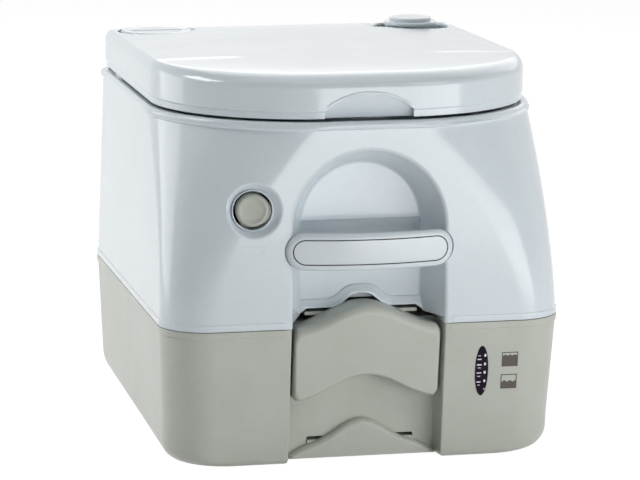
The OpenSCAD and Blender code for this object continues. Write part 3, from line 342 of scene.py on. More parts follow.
def openFaces(piece, test):
    # faces that pass the test are taken out, which leaves the skin open there
    mesh = editStart(piece)
    for face in mesh.faces:
        face.select = test(face.calc_center_median() / milli, face.normal)
    bmesh.update_edit_mesh(piece.data)
    bpy.ops.mesh.delete(type="FACE")
    editEnd(piece)


def thicken(piece, wall, even=True):
    addModifier(piece, "SOLIDIFY", thickness=wall * milli, offset=-1, use_even_offset=even, use_quality_normals=even)


def roundEdges(piece, width, angle):
    addModifier(
        piece, "BEVEL", width=width * milli, segments=3, limit_method="ANGLE", angle_limit=math.radians(angle),
        harden_normals=False)


def tidyMesh(piece):
    editStart(piece)
    bpy.ops.mesh.select_all(action="SELECT")
    bpy.ops.mesh.remove_doubles(threshold=2e-6)
    bpy.ops.mesh.dissolve_degenerate(threshold=1e-6)
    bpy.ops.mesh.normals_make_consistent(inside=False)
    editEnd(piece)


def joinAll(pieces):
    restart()
    for piece in pieces:
        piece.select_set(True)
    bpy.context.view_layer.objects.active = pieces[0]
    bpy.ops.object.join()
    return pieces[0]


def settle(piece, body, slot, nodes=(), finish=None):
    # shading, finish and place in the frame
    pick(piece)
    piece.data.name = piece.name
    bpy.ops.object.shade_smooth_by_angle(angle=math.radians(40))
    addModifier(piece, "WEIGHTED_NORMAL", keep_sharp=True, weight=50)
    piece.data.materials.clear()
    piece.data.materials.append(finishes[finish or slot])
    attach(piece, body)
    if nodes:
        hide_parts(*nodes)


def surfaceAt(piece, origin, direction):
    hit, spot, normal, index = piece.ray_cast(Vector(origin) * milli, Vector(direction))
    return spot / milli, normal


# camera as in the photograph
camera = {"azimuth": -12.40, "elevation": 10.42, "distance": 3.08115, "lens": 197.15, "sensor": 36.0,
          "shift": (0.001, 0.0048), "target": (0, 0, 0.1535), "roll": 0.17}
around, above = math.radians(camera["azimuth"]), math.radians(camera["elevation"])
backward = Vector((math.sin(around) * math.cos(above), -math.cos(around) * math.cos(above), math.sin(above)))
restart()
bpy.ops.object.camera_add(location=Vector(camera["target"]) + backward * camera["distance"])
eye = bpy.context.object
eye.name = "photoCamera"
level = (-backward).to_track_quat("-Z", "Y").to_matrix().to_4x4()
eye.rotation_euler = (level @ Matrix.Rotation(math.radians(camera["roll"]), 4, "Z")).to_euler()
eye.data.lens = camera["lens"]
eye.data.sensor_width = camera["sensor"]
eye.data.shift_x, eye.data.shift_y = camera["shift"]
scene.camera = eye
print("camera set")

# sizes shared by both sections; the front corners grow from the seam to the rim
shell = {"front": -193.5, "rear": 193.5, "seam": 118.0, "rim": 290.0, "deck": 286.5, "seamHalf": 170.0,
         "rimHalf": 163.5, "seamCorner": 40.0, "rimCorner": 133.0, "cornerCurve": 1.8, "rearCorner": 22.0,
         "wall": 3.0, "step": 0.8, "band": 6.0, "cornerSteps": 26, "rearSteps": 8}


def planRing(half, front, rear, frontR, rearR, inset, z):
    wide, near, far = half - inset, front + inset, rear - inset
    fr, rr = max(frontR - inset, 1), max(rearR - inset, 1)
    points = arcPoints(wide - fr, near + fr, fr, -90, 0, shell["cornerSteps"])
    points += arcPoints(wide - rr, far - rr, rr, 0, 90, shell["rearSteps"])
    points += arcPoints(rr - wide, far - rr, rr, 90, 180, shell["rearSteps"])
    points += arcPoints(fr - wide, near + fr, fr, 180, 270, shell["cornerSteps"])
    return lying(points, z)


def wallRing(t, inset, z):
    grown = max(t, 0) ** shell["cornerCurve"]
    return planRing(
        mix(shell["seamHalf"], shell["rimHalf"], t), shell["front"], shell["rear"],
        mix(shell["seamCorner"], shell["rimCorner"], grown), shell["rearCorner"], inset, z)


def wallAt(z, inset):
    return wallRing((z - shell["seam"]) / (shell["rim"] - shell["seam"]), inset, z)


# rinse section housing: foot band, wall, and a lip with a land inside it
housing = {"lipH": 7.0, "lipOut": 2.5, "lipRound": 3.5, "land": 4.5, "levels": 26, "lift": 0.3}
base = shell["seam"] + housing["lift"]
bandTop = shell["seam"] + shell["band"]
lipLow = shell["rim"] - housing["lipH"]
rings = [wallRing(0, inset, base + rise) for inset, rise in ((0.2, 0.0), (-0.5, 0.3), (-shell["step"], 0.9))]
for rise, inset in ((-0.5, -shell["step"]), (-0.1, -0.5), (0.05, -0.05), (0.3, 0.0)):
    rings.append(wallAt(bandTop + rise, inset))
rings += [wallAt(z, 0.0) for z in between(bandTop + 0.3, lipLow - 0.4, housing["levels"])[1:]]
for rise, inset in ((0.0, -0.15), (0.35, -0.7), (0.7, -1.5), (1.2, -2.1), (2.0, -2.42)):
    rings.append(wallAt(lipLow + rise, inset))
for drawn, drop in quarter(6):
    rings.append(wallRing(1, housing["lipRound"] * drawn - housing["lipOut"],
                          shell["rim"] - housing["lipRound"] * drop))
for inset, rise in ((-0.6, 0.0), (-0.15, -0.15), (0.0, -0.6), (0.2, -2.9), (0.7, -3.5)):
    rings.append(wallRing(1, housing["land"] + inset, shell["rim"] + rise))
rinseHousing = loft("rinseHousing", rings)

# flush button place: out of the wall along its own upright; the dish's rim lies a little aside of it
button = {"x": -97.4, "y": -187.4, "z": 218.0, "turn": 6.0, "dishR": 22.7, "dishAside": 1.4, "bezelR": 17.0,
          "dishDeep": 1.2}
press = Matrix.Translation(Vector((button["x"], button["y"], button["z"])) * milli)
press = press @ Matrix.Rotation(-math.radians(button["turn"]), 4, "Z") @ Matrix.Rotation(math.pi / 2, 4, "X")
dishR, bezelR = button["dishR"], button["bezelR"]


def onWall(across, up):
    # height of the wall over the button's own plane
    start = press @ (Vector((across, up, 40)) * milli)
    spot, normal = surfaceAt(rinseHousing, start / milli, press.to_3x3() @ Vector((0, 0, -1)))
    return (press.inverted() @ (spot * milli)).z / milli


def onPress(across, up, out):
    return press @ (Vector((across, up, out)) * milli) / milli


def dishRing(r, drop, share=None):
    # with no share the ring follows the wall, else it lies between the dish's floor and its rim
    aside = button["dishAside"] * max(0, (r - bezelR) / (dishR - bezelR))
    ring = []
    for c, s in circle(72):
        if share is None:
            own = onWall(r * c + aside, r * s)
        else:
            own = mix(-button["dishDeep"], onWall(dishR * c + button["dishAside"], dishR * s), share)
        ring.append(onPress(r * c + aside, r * s, own + drop))
    return ring


dishTool = loft("dishTool", [dishRing(dishR + grow, drop, share) for grow, drop, share in (
    (3.5, 5.0, None), (2.2, 0.35, None), (0.9, -0.06, None), (0, -0.35, None), (-0.7, -0.75, 1.0),
    (-1.6, -0.7, 0.75))] + [dishRing(bezelR + grow, drop, share) for grow, drop, share in (
        (1.2, 0.25, 0.05), (0.5, 0.0, 0.0), (0.1, -0.3, 0.0), (0.1, -6.0, 0.0))])

# grip recess: an arch that narrows inwards, its mouth and its back rounded, with a scoop behind the bar
recess = {"half": 65.3, "depth": 34.0, "archZ": 200.5, "low": 90.0, "draft": 14.0, "mouthRound": 4.0,
          "backRound": 3.0, "scoopR": 21.5, "scoopDepth": 14.0, "scoopZ": 183.0, "scoopHalf": 51.5}
backY = shell["front"] + recess["depth"]


def archRing(grow, y):
    r = recess["half"] + grow
    arc = arcPoints(0, recess["archZ"], r, 180, 0, 48)
    return facing([(-r, recess["low"])] + arc + [(r, recess["low"])], y)


def draftProfile(depth, draft, mouthRound, backRound):
    # (depth, grow) pairs from outside the front face to the back of a drafted recess
    lean = math.atan2(draft, depth)
    slope = draft / depth
    reach = math.sqrt(1 + slope * slope)
    side = mouthRound * (reach - slope)
    pairs = [(-4.0, side + 3.5), (-0.4, side + 3.5)]
    for a in between(0, math.pi / 2 - lean, 6)[1:]:
        pairs.append((mouthRound * (1 - math.cos(a)), side - mouthRound * math.sin(a)))
    centre = -reach * backRound - slope * (depth - backRound)
    for a in between(lean, math.pi / 2, 5):
        pairs.append((depth - backRound + backRound * math.sin(a), centre + backRound * math.cos(a)))
    return pairs


profile = draftProfile(recess["depth"], recess["draft"], recess["mouthRound"], recess["backRound"])
cut(rinseHousing, [archRing(grow, shell["front"] + deep) for deep, grow in profile])
scoopY = backY + recess["scoopDepth"] - recess["scoopR"]
cut(rinseHousing, [pipeRing(x, scoopY, recess["scoopZ"], recess["scoopR"] - inset) for x, inset in (
    (-recess["scoopHalf"], 1.5), (-recess["scoopHalf"] + 1.0, 0), (recess["scoopHalf"] - 1.0, 0),
    (recess["scoopHalf"], 1.5))])

# pocket for the carrying bar's ends, then the button's dish
grip = {"half": 71.0, "tall": 31.0, "z": 183.5, "thick": 6.0, "back": -189.5, "bow": 13.0, "bowR": 200.385,
        "edge": 4.2, "labelHalf": 65.5, "labelTall": 21.0, "groove": 0.55}
cut(rinseHousing, [pillRing(grip["half"] + grow, grip["tall"] + 2 * grow, y, grip["z"]) for grow, y in (
    (3, shell["front"] - 6), (0.9, shell["front"] - 0.15), (0.4, shell["front"] + 0.5), (0.3, grip["back"] + 0.2))])
carve(rinseHousing, dishTool)

# opening over the valve blade, with a ledge each side and a hump
bladeGate = {"foot": 54.0, "ledge": 46.5, "hump": 20.5, "humpTop": 6.5, "under": 100.0, "low": 123.5,
             "ledgeZ": 129.0, "humpZ": 140.5, "lip": 7.6, "endHalf": 64.4, "behind": 12.0,
             "rounds": [0, 2, 4, 15, 15, 15, 15, 4, 2, 0]}
rightSide = [(bladeGate[wide], bladeGate[high]) for wide, high in (
    ("foot", "under"), ("foot", "low"), ("ledge", "ledgeZ"), ("hump", "ledgeZ"), ("humpTop", "humpZ"))]
gateCorners = rightSide + [(-x, z) for x, z in reversed(rightSide)]
gateOutline = softCorners(gateCorners, bladeGate["rounds"])
gateEnd = backY + bladeGate["behind"]
cut(rinseHousing, [facing(gateOutline, y) for y in (backY - 3, gateEnd)])
cut(rinseHousing, [lying(boxOutline(bladeGate["endHalf"], -200, gateEnd), z)
                   for z in (bladeGate["under"], bladeGate["low"])])

# openings in the deck
bowl = {"half": 118.0, "deep": 135.0, "y": -26.0, "valveY": -20.0, "outlet": 39.0, "wall": 2.5, "low": 133.9,
        "neck": 143.0, "fallTop": 283.5, "inside": 3.0}
corner = {"x": 118.0, "y": 152.0, "lidR": 35.0}
deck = {"bowlLow": 273.5, "low": 275.5, "high": 303.5, "pumpR": 18.0, "fillerR": 26.1}
cut(rinseHousing, [ovalRing(bowl["half"], bowl["deep"], bowl["y"], z) for z in (deck["bowlLow"], deck["high"])])
for x, r in ((corner["x"], deck["pumpR"]), (-corner["x"], deck["fillerR"])):
    cut(rinseHousing, [discRing(x, corner["y"], r, z) for z in (deck["low"], deck["high"])])
print("housing carved")


def housingOpen(middle, normal):
    x, y, z = middle
    if z < base + 0.05 and normal.z < -0.9:
        return True  # underside
    inBowl = math.hypot(x / bowl["half"], (y - bowl["y"]) / bowl["deep"]) < 1.01
    inWell = math.hypot(abs(x) - corner["x"], y - corner["y"]) < deck["fillerR"] + 0.4
    if 265 < z < shell["deck"] - 0.05 and (inBowl or inWell):
        return True  # walls and floors of the deck's openings
    if z < bladeGate["humpZ"] + 0.5 and backY + 0.05 < y < -120 and abs(x) < recess["half"] - 0.3:
        return True  # inside the blade opening
    local = press.inverted() @ (middle * milli) / milli
    return -12 < local.z < -button["dishDeep"] - 0.5 and math.hypot(local.x, local.y) < bezelR + 1


tidyMesh(rinseHousing)
openFaces(rinseHousing, housingOpen)
thicken(rinseHousing, shell["wall"])
settle(rinseHousing, "upper", "white_gloss", ["upper_shell"])
print("housing done")


# lip round the blade opening
def lipRing(grow, forward):
    outer = [(x + math.copysign(grow * 0.5, x), z + (grow if z > bladeGate["under"] + 1 else 0))
             for x, z in gateCorners]
    return facing(softCorners(outer, bladeGate["rounds"]), backY - forward)


lipPiece = loft("bladeLip", [lipRing(bladeGate["lip"] - inset, forward) for inset, forward in (
    (0, -2), (0, 0.6), (0.4, 1.5), (1.1, 2.0), (2.4, 2.2), (3.4, 2.6))] + [lipRing(1.2, 4.6)])
cut(lipPiece, [lipRing(grow, forward) for grow, forward in ((0.9, 9), (0.6, 4.0), (0.0, 3.0), (0.0, -9))])
cut(lipPiece, [lying(boxOutline(90, -200, -100), z) for z in (60.0, bladeGate["low"])])
settle(lipPiece, "upper", "white_gloss")
print("blade lip done")

# waste tank
tank = {"baseHalf": 166.0, "lean": 15.0, "straight": 30.0, "sideRound": 18.0, "rearRound": 30.0, "frontRound": 5.0,
        "footRound": 4.5, "draft": 2.5, "mouthRound": 1.6, "backRound": 3.0, "bayHalf": 110.0, "bayDeep": 64.0,
        "bayZ": 50.0, "bayTop": 150.0, "bayCorner": 6.0, "boltHalf": 45.8, "boltLow": 4.7, "boltHigh": 18.8,
        "boltDeep": 62.0}


def tankFront(z):
    return shell["front"] + tank["lean"] * (1 - z / shell["seam"])


def footIn(r, z):
    # how far a lower edge of radius r is drawn in at this height
    return r - math.sqrt(max(r * r - (r - max(z, 0)) ** 2, 0)) if z < r else 0


def tankRing(z, inset):
    # the sides' lower rounding grows towards the rear
    near, far = footIn(tank["sideRound"], z), footIn(tank["rearRound"], z)
    half = mix(tank["baseHalf"], shell["seamHalf"], max(z - tank["straight"], 0) / (shell["seam"] - tank["straight"]))
    ring = planRing(half - near, tankFront(z) + footIn(tank["frontRound"], z), shell["rear"], shell["seamCorner"],
                    shell["rearCorner"], inset, z)
    drawn = []
    for x, y, z in ring:
        share = clamp((y + 110) / 240) ** 1.8 * min(1, abs(x) / 120)
        drawn.append((x - math.copysign((far - near) * share, x), y, z))
    return drawn


levels = [0.0, 0.15, 0.5, 1.1, 1.9, 3.0, 4.2, 5.5, 7.0, 9.0, 11.5, 14.0, 17.0, 20.5, 25]
levels += between(tank["straight"], shell["seam"] - shell["band"], 8)
rings = [tankRing(z, 0) for z in levels]
for rise, inset in ((-5.95, -0.05), (-5.8, -0.5), (-5.5, -0.8), (-0.7, -0.8), (-0.25, -0.6), (0.0, -0.1)):
    rings.append(tankRing(shell["seam"] + rise, inset))
wasteTank = loft("wasteTank", rings)


def slotRing(deep, grow):
    # the recess widens towards the floor, so the tank's lower corners are round
    side, r = [], tank["footRound"]
    for z in (-20.0, 0.0, 0.35, 0.9, 1.6, 2.5, 3.5, r, 140.0):
        y = (tankFront(z) if deep < 6 else shell["front"]) + deep
        side.append((recess["half"] + grow + footIn(r, z), y, z))
    return side + [(-x, y, z) for x, y, z in reversed(side)]


profile = draftProfile(recess["depth"], tank["draft"], tank["mouthRound"], tank["backRound"])
cut(wasteTank, [slotRing(deep, grow) for deep, grow in profile])


def bayRing(inset, y):
    half, low, r = tank["bayHalf"] - inset, tank["bayZ"] + inset, tank["bayCorner"] - min(inset, 3)
    square = [(-half, tank["bayTop"]), (-half, low), (half, low), (half, tank["bayTop"])]
    return facing(softCorners(square, [0, r, r, 0]), y)


bayBack = shell["rear"] - tank["bayDeep"]
cut(wasteTank, [bayRing(inset, shell["rear"] + out) for inset, out in (
    (-3.5, 5), (-2.2, 0.2), (-0.9, -0.35), (0, -1.4))] + [bayRing(inset, bayBack + out) for inset, out in (
        (0, 4), (0.6, 1.9), (1.9, 0.6), (4, 0))])
spout = {"x": 70.0, "y": 161.2, "footR": 19.0, "r": 22.0, "wall": 3.0, "reach": 122.0, "rise": 32.0, "capR": 27.0,
         "capBore": 22.2, "capPast": 3.9}
cut(wasteTank, [discRing(spout["x"], spout["y"], spout["footR"], z) for z in (42.0, 60.0)])
cut(wasteTank, [discRing(0, bowl["valveY"], bowl["outlet"], z) for z in (109.5, 131.5)])
boltSquare = softCorners(boxOutline(tank["boltHalf"], tank["boltLow"], tank["boltHigh"]), 1.2, 3)
cut(wasteTank, [facing(boltSquare, y) for y in (backY - 4, backY + tank["boltDeep"])])


def tankOpen(middle, normal):
    x, y, z = middle
    if math.hypot(x, y - bowl["valveY"]) < bowl["outlet"] + 0.5 and 106.5 < z < shell["seam"] - 0.05:
        return True
    return math.hypot(x - spout["x"], y - spout["y"]) < spout["footR"] + 0.5 and 40 < z < tank["bayZ"] - 0.05


tidyMesh(wasteTank)
openFaces(wasteTank, tankOpen)
thicken(wasteTank, shell["wall"], False)
settle(wasteTank, "tank", "tan_satin", ["waste_tank"])
print("tank done")

# lid: its wells take the pump knob and the filler cap
lid = {"low": 292.0, "inset": 2.0, "edge": 317.0, "round": 12.0, "sideDeep": 6.5, "frontDeep": 21.0, "top": 329.8,
       "crown": 0.8, "flat": 85.0, "wall": 3.0, "notchHalf": 37.0, "notchTop": 312.0, "notchArch": 13.0,
       "notchDeep": 8.0, "notchH": 20.0, "notchDrop": -40.0, "rearHalf": 150.5, "rearLow": 283.0,
       "rearTop": 312.3, "rearFront": 175.5, "rearEnd": 205.0}
wells = ({"side": -1, "open": 324.4, "profile": (
             (4, 340), (4, 327.7), (2.2, 327.2), (0.9, 326.6), (0.25, 325.8), (0, 324.6), (0, 309.5))},
         {"side": 1, "open": 322.8, "profile": (
             (16, 340), (16, 328.4), (9, 326.9), (4, 325.8), (2.2, 325.3), (0.9, 324.7), (0.25, 324.0),
             (0, 323.0), (0, 309.5))})


def lidRing(inset, z):
    return wallRing(1, lid["inset"] + inset, z)


def lidEdge(side, front, z):
    # the front edge is rounded over a greater depth than the sides, and a low dome runs from front to rear
    ring = []
    for near, far in zip(lidRing(side, z), lidRing(front, z)):
        share = clamp((-60 - near[1]) / 110) ** 1.5
        x, y = mix(near[0], far[0], share), mix(near[1], far[1], share)
        dome = max(1.2 - 0.00023 * (y - 25) ** 2, -1.0 if y < 0 else -9)
        ring.append((x, y, z + dome * clamp((z - lid["edge"]) / lid["round"])))
    return ring


rings = [lidRing(inset, lid["low"] + rise) for inset, rise in (
    (1.7, 0.0), (1.2, 0.2), (1.0, 0.7), (1.0, 5.5), (0.8, 5.8), (0.3, 6.1), (0.05, 6.6), (0.0, 7.4))]
for drawn, drop in quarter(10):
    rings.append(lidEdge(lid["sideDeep"] * drawn, lid["frontDeep"] * drawn, lid["edge"] + lid["round"] * (1 - drop)))
for i in range(1, 8):
    t = (i / 7) ** 1.6
    rings.append(lidEdge(mix(lid["sideDeep"], lid["flat"], t), mix(lid["frontDeep"], lid["flat"], t),
                         lid["top"] - lid["crown"] * (1 - t) ** 2))
lidCover = loft("lidCover", rings)

# finger notch in the lid's front
archR = (lid["notchHalf"] ** 2 + lid["notchArch"] ** 2) / (2 * lid["notchArch"])
archHalf = math.asin(lid["notchHalf"] / archR)
lidFront = shell["front"] + lid["inset"]
notchPlace = Matrix.Translation((0, lidFront, lid["notchTop"])) @ Matrix.Rotation(
    math.atan2(lid["notchDeep"], lid["notchH"]), 4, "X")


def notchRing(grow, deep):
    r, foot = archR + grow, lid["notchHalf"] + grow
    ring = [(-foot, lid["notchDrop"])]
    ring += [(r * math.sin(a), r * math.cos(a) - archR) for a in between(-archHalf, archHalf, 32)]
    ring.append((foot, lid["notchDrop"]))
    return [notchPlace @ Vector((x, deep, z)) for x, z in ring]


cut(lidCover, [notchRing(grow, deep) for grow, deep in ((1.2, -18), (0.6, -3), (0, -0.8), (-0.8, 0))])
for well in wells:
    cut(lidCover, [discRing(well["side"] * corner["x"], corner["y"], corner["lidR"] + grow, z)
                   for grow, z in well["profile"]])
rearSquare = softCorners(boxOutline(lid["rearHalf"], lid["rearLow"], lid["rearTop"]), [0, 0, 5, 5])
cut(lidCover, [facing(rearSquare, y) for y in (lid["rearFront"], lid["rearEnd"])])


def lidOpen(middle, normal):
    x, y, z = middle
    if z < lid["low"] + 0.05 and normal.z < -0.9:
        return True
    for well in wells:
        away = math.hypot(x - well["side"] * corner["x"], y - corner["y"])
        if away < corner["lidR"] + 0.1 and z < well["open"]:
            return True
    return abs(x) < lid["rearHalf"] + 0.1 and lid["rearFront"] - 0.1 < y < 190.3 and z < lid["rearTop"] + 0.1


tidyMesh(lidCover)
openFaces(lidCover, lidOpen)
thicken(lidCover, lid["wall"])
# ridge over the finger notch, fading at its ends
ridgeRings = []
for i, a in enumerate(between(-archHalf, archHalf, 40)):
    spot = notchPlace @ Vector((archR * math.sin(a), 0, archR * math.cos(a) - archR))
    fade = min(1.0, 6 * (1 - abs(i - 20) / 20.5))
    ridgeRings.append([(spot.x, lidFront + 0.2 - 0.75 * fade * s, spot.z + 1.2 + 1.4 * fade * c)
                       for c, s in circle(12)])
notchRidge = loft("notchRidge", ridgeRings)
hinge = {"y": 181.0, "z": 303.5, "knuckle": 5.5, "pin": 2.56, "lidX": 58.3, "lidW": 8.0, "lidArmTop": 323.0,
         "seatX": 40.2, "seatW": 11.0, "seatArm": 20.0, "seatArmTop": 4.5, "seatArmLow": 5.4}


def knuckle(name, x, wide, arm):
    # round knuckle drawn out into an arm, in side view
    outline = arm + arcPoints(hinge["y"], hinge["z"], hinge["knuckle"], -180, 0, 16)
    piece = loft(name, [[(side, y, z) for y, z in outline] for side in (x - wide / 2, x + wide / 2)])
    cut(piece, [pipeRing(side, hinge["y"], hinge["z"], hinge["pin"], 32) for side in (x - wide, x + wide)])
    roundEdges(piece, 0.6, 35)
    return piece


armRear, armFront = hinge["y"] + hinge["knuckle"], hinge["y"] - hinge["knuckle"]
lidArm = [(armRear, hinge["lidArmTop"]), (armFront, hinge["lidArmTop"])]
lidCover = joinAll([lidCover, notchRidge] + [
    knuckle("lidKnuckle", side * hinge["lidX"], hinge["lidW"], lidArm) for side in (-1, 1)])
settle(lidCover, "lid", "white_gloss", ["lid"])
print("lid done")

# seat
seat = {"low": 293.0, "top": 309.5, "inset": 8.0, "rear": 173.5, "round": 6.0, "openHalf": 98.0, "openDeep": 116.0,
        "cornerR": 40.0}


def seatEdge(inset, z):
    return planRing(
        shell["rimHalf"] - seat["inset"], shell["front"] + seat["inset"], seat["rear"],
        shell["rimCorner"] - seat["inset"], shell["rearCorner"], inset, z)


def seatInner(grow, z):
    return ovalRing(seat["openHalf"] + grow, seat["openDeep"] + grow, bowl["y"], z)


topRound = [(2 * seat["round"] * drawn, seat["top"] - seat["round"] * drop) for drawn, drop in quarter(9)]
seatPiece = loft("seatRing", [seatEdge(inset, seat["low"] + rise) for inset, rise in (
    (1.6, 0.0), (0.7, 0.3), (0.1, 1.0), (0, 2.0))] + [seatEdge(inset, z) for inset, z in topRound])
opening = [(4, 284), (4, 292.0), (2.4, 293.7), (1.2, 295.0), (0, 298.5)] + topRound + [(16, 309.9), (16, 319)]
cut(seatPiece, [seatInner(grow, z) for grow, z in opening])
for side in (-1, 1):
    cut(seatPiece, [discRing(side * corner["x"], corner["y"], seat["cornerR"] + grow, z) for grow, z in (
        (0, 284), (0, 305.0), (0.5, 307.1), (1.8, 308.8), (4.2, 309.65), (4.2, 316))])
cut(seatPiece, [notchRing(3.6, -18), notchRing(3.6, 3.6)])
tidyMesh(seatPiece)
armTop, armLow = hinge["z"] + hinge["seatArmTop"], hinge["z"] - hinge["seatArmLow"]
seatArm = [(armRear, armTop), (hinge["y"] - hinge["seatArm"], armTop), (hinge["y"] - hinge["seatArm"], armLow),
           (armFront, armLow)]
seatPiece = joinAll([seatPiece] + [
    knuckle("seatKnuckle", side * hinge["seatX"], hinge["seatW"], seatArm) for side in (-1, 1)])
settle(seatPiece, "seat", "white_gloss", ["seat"])
print("seat done")

# bowl: flange, rolled edge, then a long fall to the outlet
rings = [ovalRing(bowl["half"] + grow, bowl["deep"] + grow, bowl["y"], z) for grow, z in (
    (9.0, 286.5), (9.0, 287.8), (8.6, 288.3), (8.0, 288.5), (1.5, 288.5), (-0.8, 288.1), (-2.2, 286.9),
    (-2.9, 285.0))]
for i in range(1, 25):
    t = i / 24
    s = t ** 1.6
    half, deep = [mix(bowl[size], bowl["outlet"], s) - bowl["inside"] for size in ("half", "deep")]
    rings.append(ovalRing(half, deep, mix(bowl["y"], bowl["valveY"], s), mix(bowl["fallTop"], bowl["neck"], t)))
outletR = bowl["outlet"] - bowl["inside"]
rings.append(ovalRing(outletR, outletR, bowl["valveY"], bowl["low"]))
bowlPiece = loft("bowlBasin", rings)
openFaces(bowlPiece, lambda middle, normal: abs(normal.z) > 0.99 and (
    math.hypot(middle.x, middle.y - bowl["y"]) < 20 or middle.z < bowl["low"] + 0.1))
# the open skin has to face inwards before it is thickened
editStart(bowlPiece)
faceOutward()
mesh = bmesh.from_edit_mesh(bowlPiece.data)
lowest = min(mesh.faces, key=lambda face: face.calc_center_median().z)
if lowest.normal.dot(Vector((0, bowl["valveY"] * milli, 0)) - lowest.calc_center_median()) < 0:
    bpy.ops.mesh.flip_normals()
editEnd(bowlPiece)
thicken(bowlPiece, bowl["wall"])
settle(bowlPiece, "upper", "white_gloss", ["bowl"])
print("bowl done")


# carrying bar, its bare plate, and a dark strip in the groove round it that paints the groove's shade
def bowed(piece):
    centre = grip["back"] - grip["bow"] + grip["bowR"]
    for vert in piece.data.vertices:
        x, deep = vert.co.x / milli, -vert.co.y / milli
        vert.co.y = (centre - math.sqrt((grip["bowR"] + deep) ** 2 - x * x)) * milli
    tidyMesh(piece)


def barRing(grow, deep):
    return pillRing(grip["half"] + grow, grip["tall"] + 2 * grow, -deep, grip["z"], 16, 40)


def labelRing(grow, deep):
    return pillRing(grip["labelHalf"] + grow, grip["labelTall"] + 2 * grow, -deep, grip["z"], 16, 40)


barShut, labelShut = 0.001 - grip["tall"] / 2, 0.001 - grip["labelTall"] / 2
rings = [barRing(grow, deep) for grow, deep in ((barShut, 0), (-8, 0), (-1.2, 0), (-0.4, 0.2), (0, 0.9))]
rings += [barRing(-grip["edge"] * drawn, grip["thick"] - grip["edge"] * drop) for drawn, drop in quarter(8)]
rings += [labelRing(grow, deep) for grow, deep in (
    (0.35, 6.0), (0.1, 5.9), (0.0, 5.6), (0.0, 4.9), (-5, 4.9), (labelShut, 4.9))]
gripBar = loft("gripBar", rings)
bowed(gripBar)
settle(gripBar, "upper", "white_gloss", ["front_handle"])
shut = grip["groove"] + labelShut
gripPlate = loft("gripPlate", [labelRing(grow - grip["groove"], deep) for grow, deep in (
    (shut, 4.95), (-5, 4.95), (0, 4.95), (0, 5.7), (-0.1, 5.92), (-0.4, 6.0), (-3, 6.0), (-6, 6.0), (shut, 6.0))])
bowed(gripPlate)
settle(gripPlate, "upper", "label_white", ["handle_label"])
grooveShadeStrip = loft("grooveShadeStrip", [labelRing(grow, deep) for grow, deep in (
    (0.3, 4.92), (0.3, 5.9), (0.2, 5.99), (-0.6, 5.99), (-0.75, 5.98), (-0.75, 4.92))])
openFaces(grooveShadeStrip, lambda middle, normal: (
    abs(normal.y) > 0.9 and abs(middle.x) < 40 and abs(middle.z - grip["z"]) < 4))
bowed(grooveShadeStrip)
# the dark rubber finish on this strip is painted shade in the groove
settle(grooveShadeStrip, "upper", "label_white", finish="seal_rubber")
print("bar done")

# wave-shaped valve pull
pull = {"half": 62.4, "frontHalf": 62.2, "topHalf": 63.0, "low": 54.0, "high": 117.0, "lowHump": 20.7, "hump": 19.0,
        "back": -163.0, "front": -192.0, "topRound": 9.0, "edge": 3.0, "cornerR": 4.8, "wall": 3.0, "steps": 40}


def wave(x, half, hump):
    return hump * (1 + math.cos(math.pi * x / half)) / 2 if abs(x) < half else 0


def pullRing(y, out, shrink, edge, top):
    # outline at one depth, eased at its ends; its front leans like the tank's
    half, r = pull["half"] - shrink - edge, pull["cornerR"]
    lower = [(x, True) for x in between(-half, half, pull["steps"])]
    ring = []
    for x, isLow in lower + [(x, False) for x in between(half, -half, pull["steps"])]:
        ease = max(r - (half - abs(x)), 0)
        ease = r - math.sqrt(max(r * r - ease * ease, 0))
        if isLow:
            z = pull["low"] + shrink + edge + ease + wave(x, pull["half"], pull["lowHump"])
        else:
            z = pull["high"] - shrink - top - ease + wave(x, pull["half"], pull["hump"])
        rise = (z - pull["low"]) / (pull["high"] - pull["low"])
        wide = mix(pull["frontHalf"], pull["topHalf"], rise) / pull["half"]
        lean = tank["lean"] * (z / shell["seam"] - 1)
        ring.append((x * mix(1, wide, out), y - lean * out, z))
    return ring


def pullPiece(name, shrink, back, front):
    rings = [pullRing(back, 0, shrink, 0, 0)]
    for drawn, drop in quarter(9):
        y = front + pull["topRound"] * drop
        rings.append(pullRing(y, (back - y) / (back - front), shrink, pull["edge"] * drawn, pull["topRound"] * drawn))
    return loft(name, rings)


valvePull = pullPiece("valvePull", 0, pull["back"], pull["front"])
carve(valvePull, pullPiece("pullHollow", pull["wall"], pull["back"] + 5, pull["front"] + pull["wall"]))
tidyMesh(valvePull)
settle(valvePull, "slide_valve", "tan_satin", ["valve_handle"])
print("pull done")

# floor latch
latch = {"half": 61.5, "low": 1.6, "shoulder": 16.2, "drop": 11.4, "tipFrom": 30.0, "tipCurve": 1.8, "hump": 17.6,
         "waveHalf": 42.0, "back": -159.8, "thick": 8.0, "edge": 4.6, "thin": 0.35, "steps": 48, "boltHalf": 45.5,
         "boltLow": 5.0, "boltHigh": 16.0, "boltLong": 41.7}


def latchTop(x):
    edge = max(0.0, abs(x) - latch["tipFrom"]) / (latch["half"] - latch["tipFrom"])
    return latch["shoulder"] + wave(x, latch["waveHalf"], latch["hump"]) - latch["drop"] * edge ** latch["tipCurve"]


def latchRing(y, inset):
    across = between(inset - latch["half"], latch["half"] - inset, latch["steps"])
    low = latch["low"] + min(inset, 0.6)
    top = [(x, max(latchTop(x) - inset, low + latch["thin"])) for x in reversed(across)]
    return facing([(x, low) for x in across] + top, y)


latchFront = loft("floorLatch", [latchRing(latch["back"], 0)] + [
    latchRing(latch["back"] - latch["thick"] + latch["edge"] * drop, latch["edge"] * drawn)
    for drawn, drop in quarter(6)])
boltBox = softCorners(boxOutline(latch["boltHalf"], latch["boltLow"], latch["boltHigh"]), 1.0, 3)
bolt = loft("latchBolt", [facing(boltBox, latch["back"] + along) for along in (-1, latch["boltLong"])])
floorLatch = joinAll([latchFront, bolt])
settle(floorLatch, "latch", "tan_satin", ["base_latch"])
print("latch done")

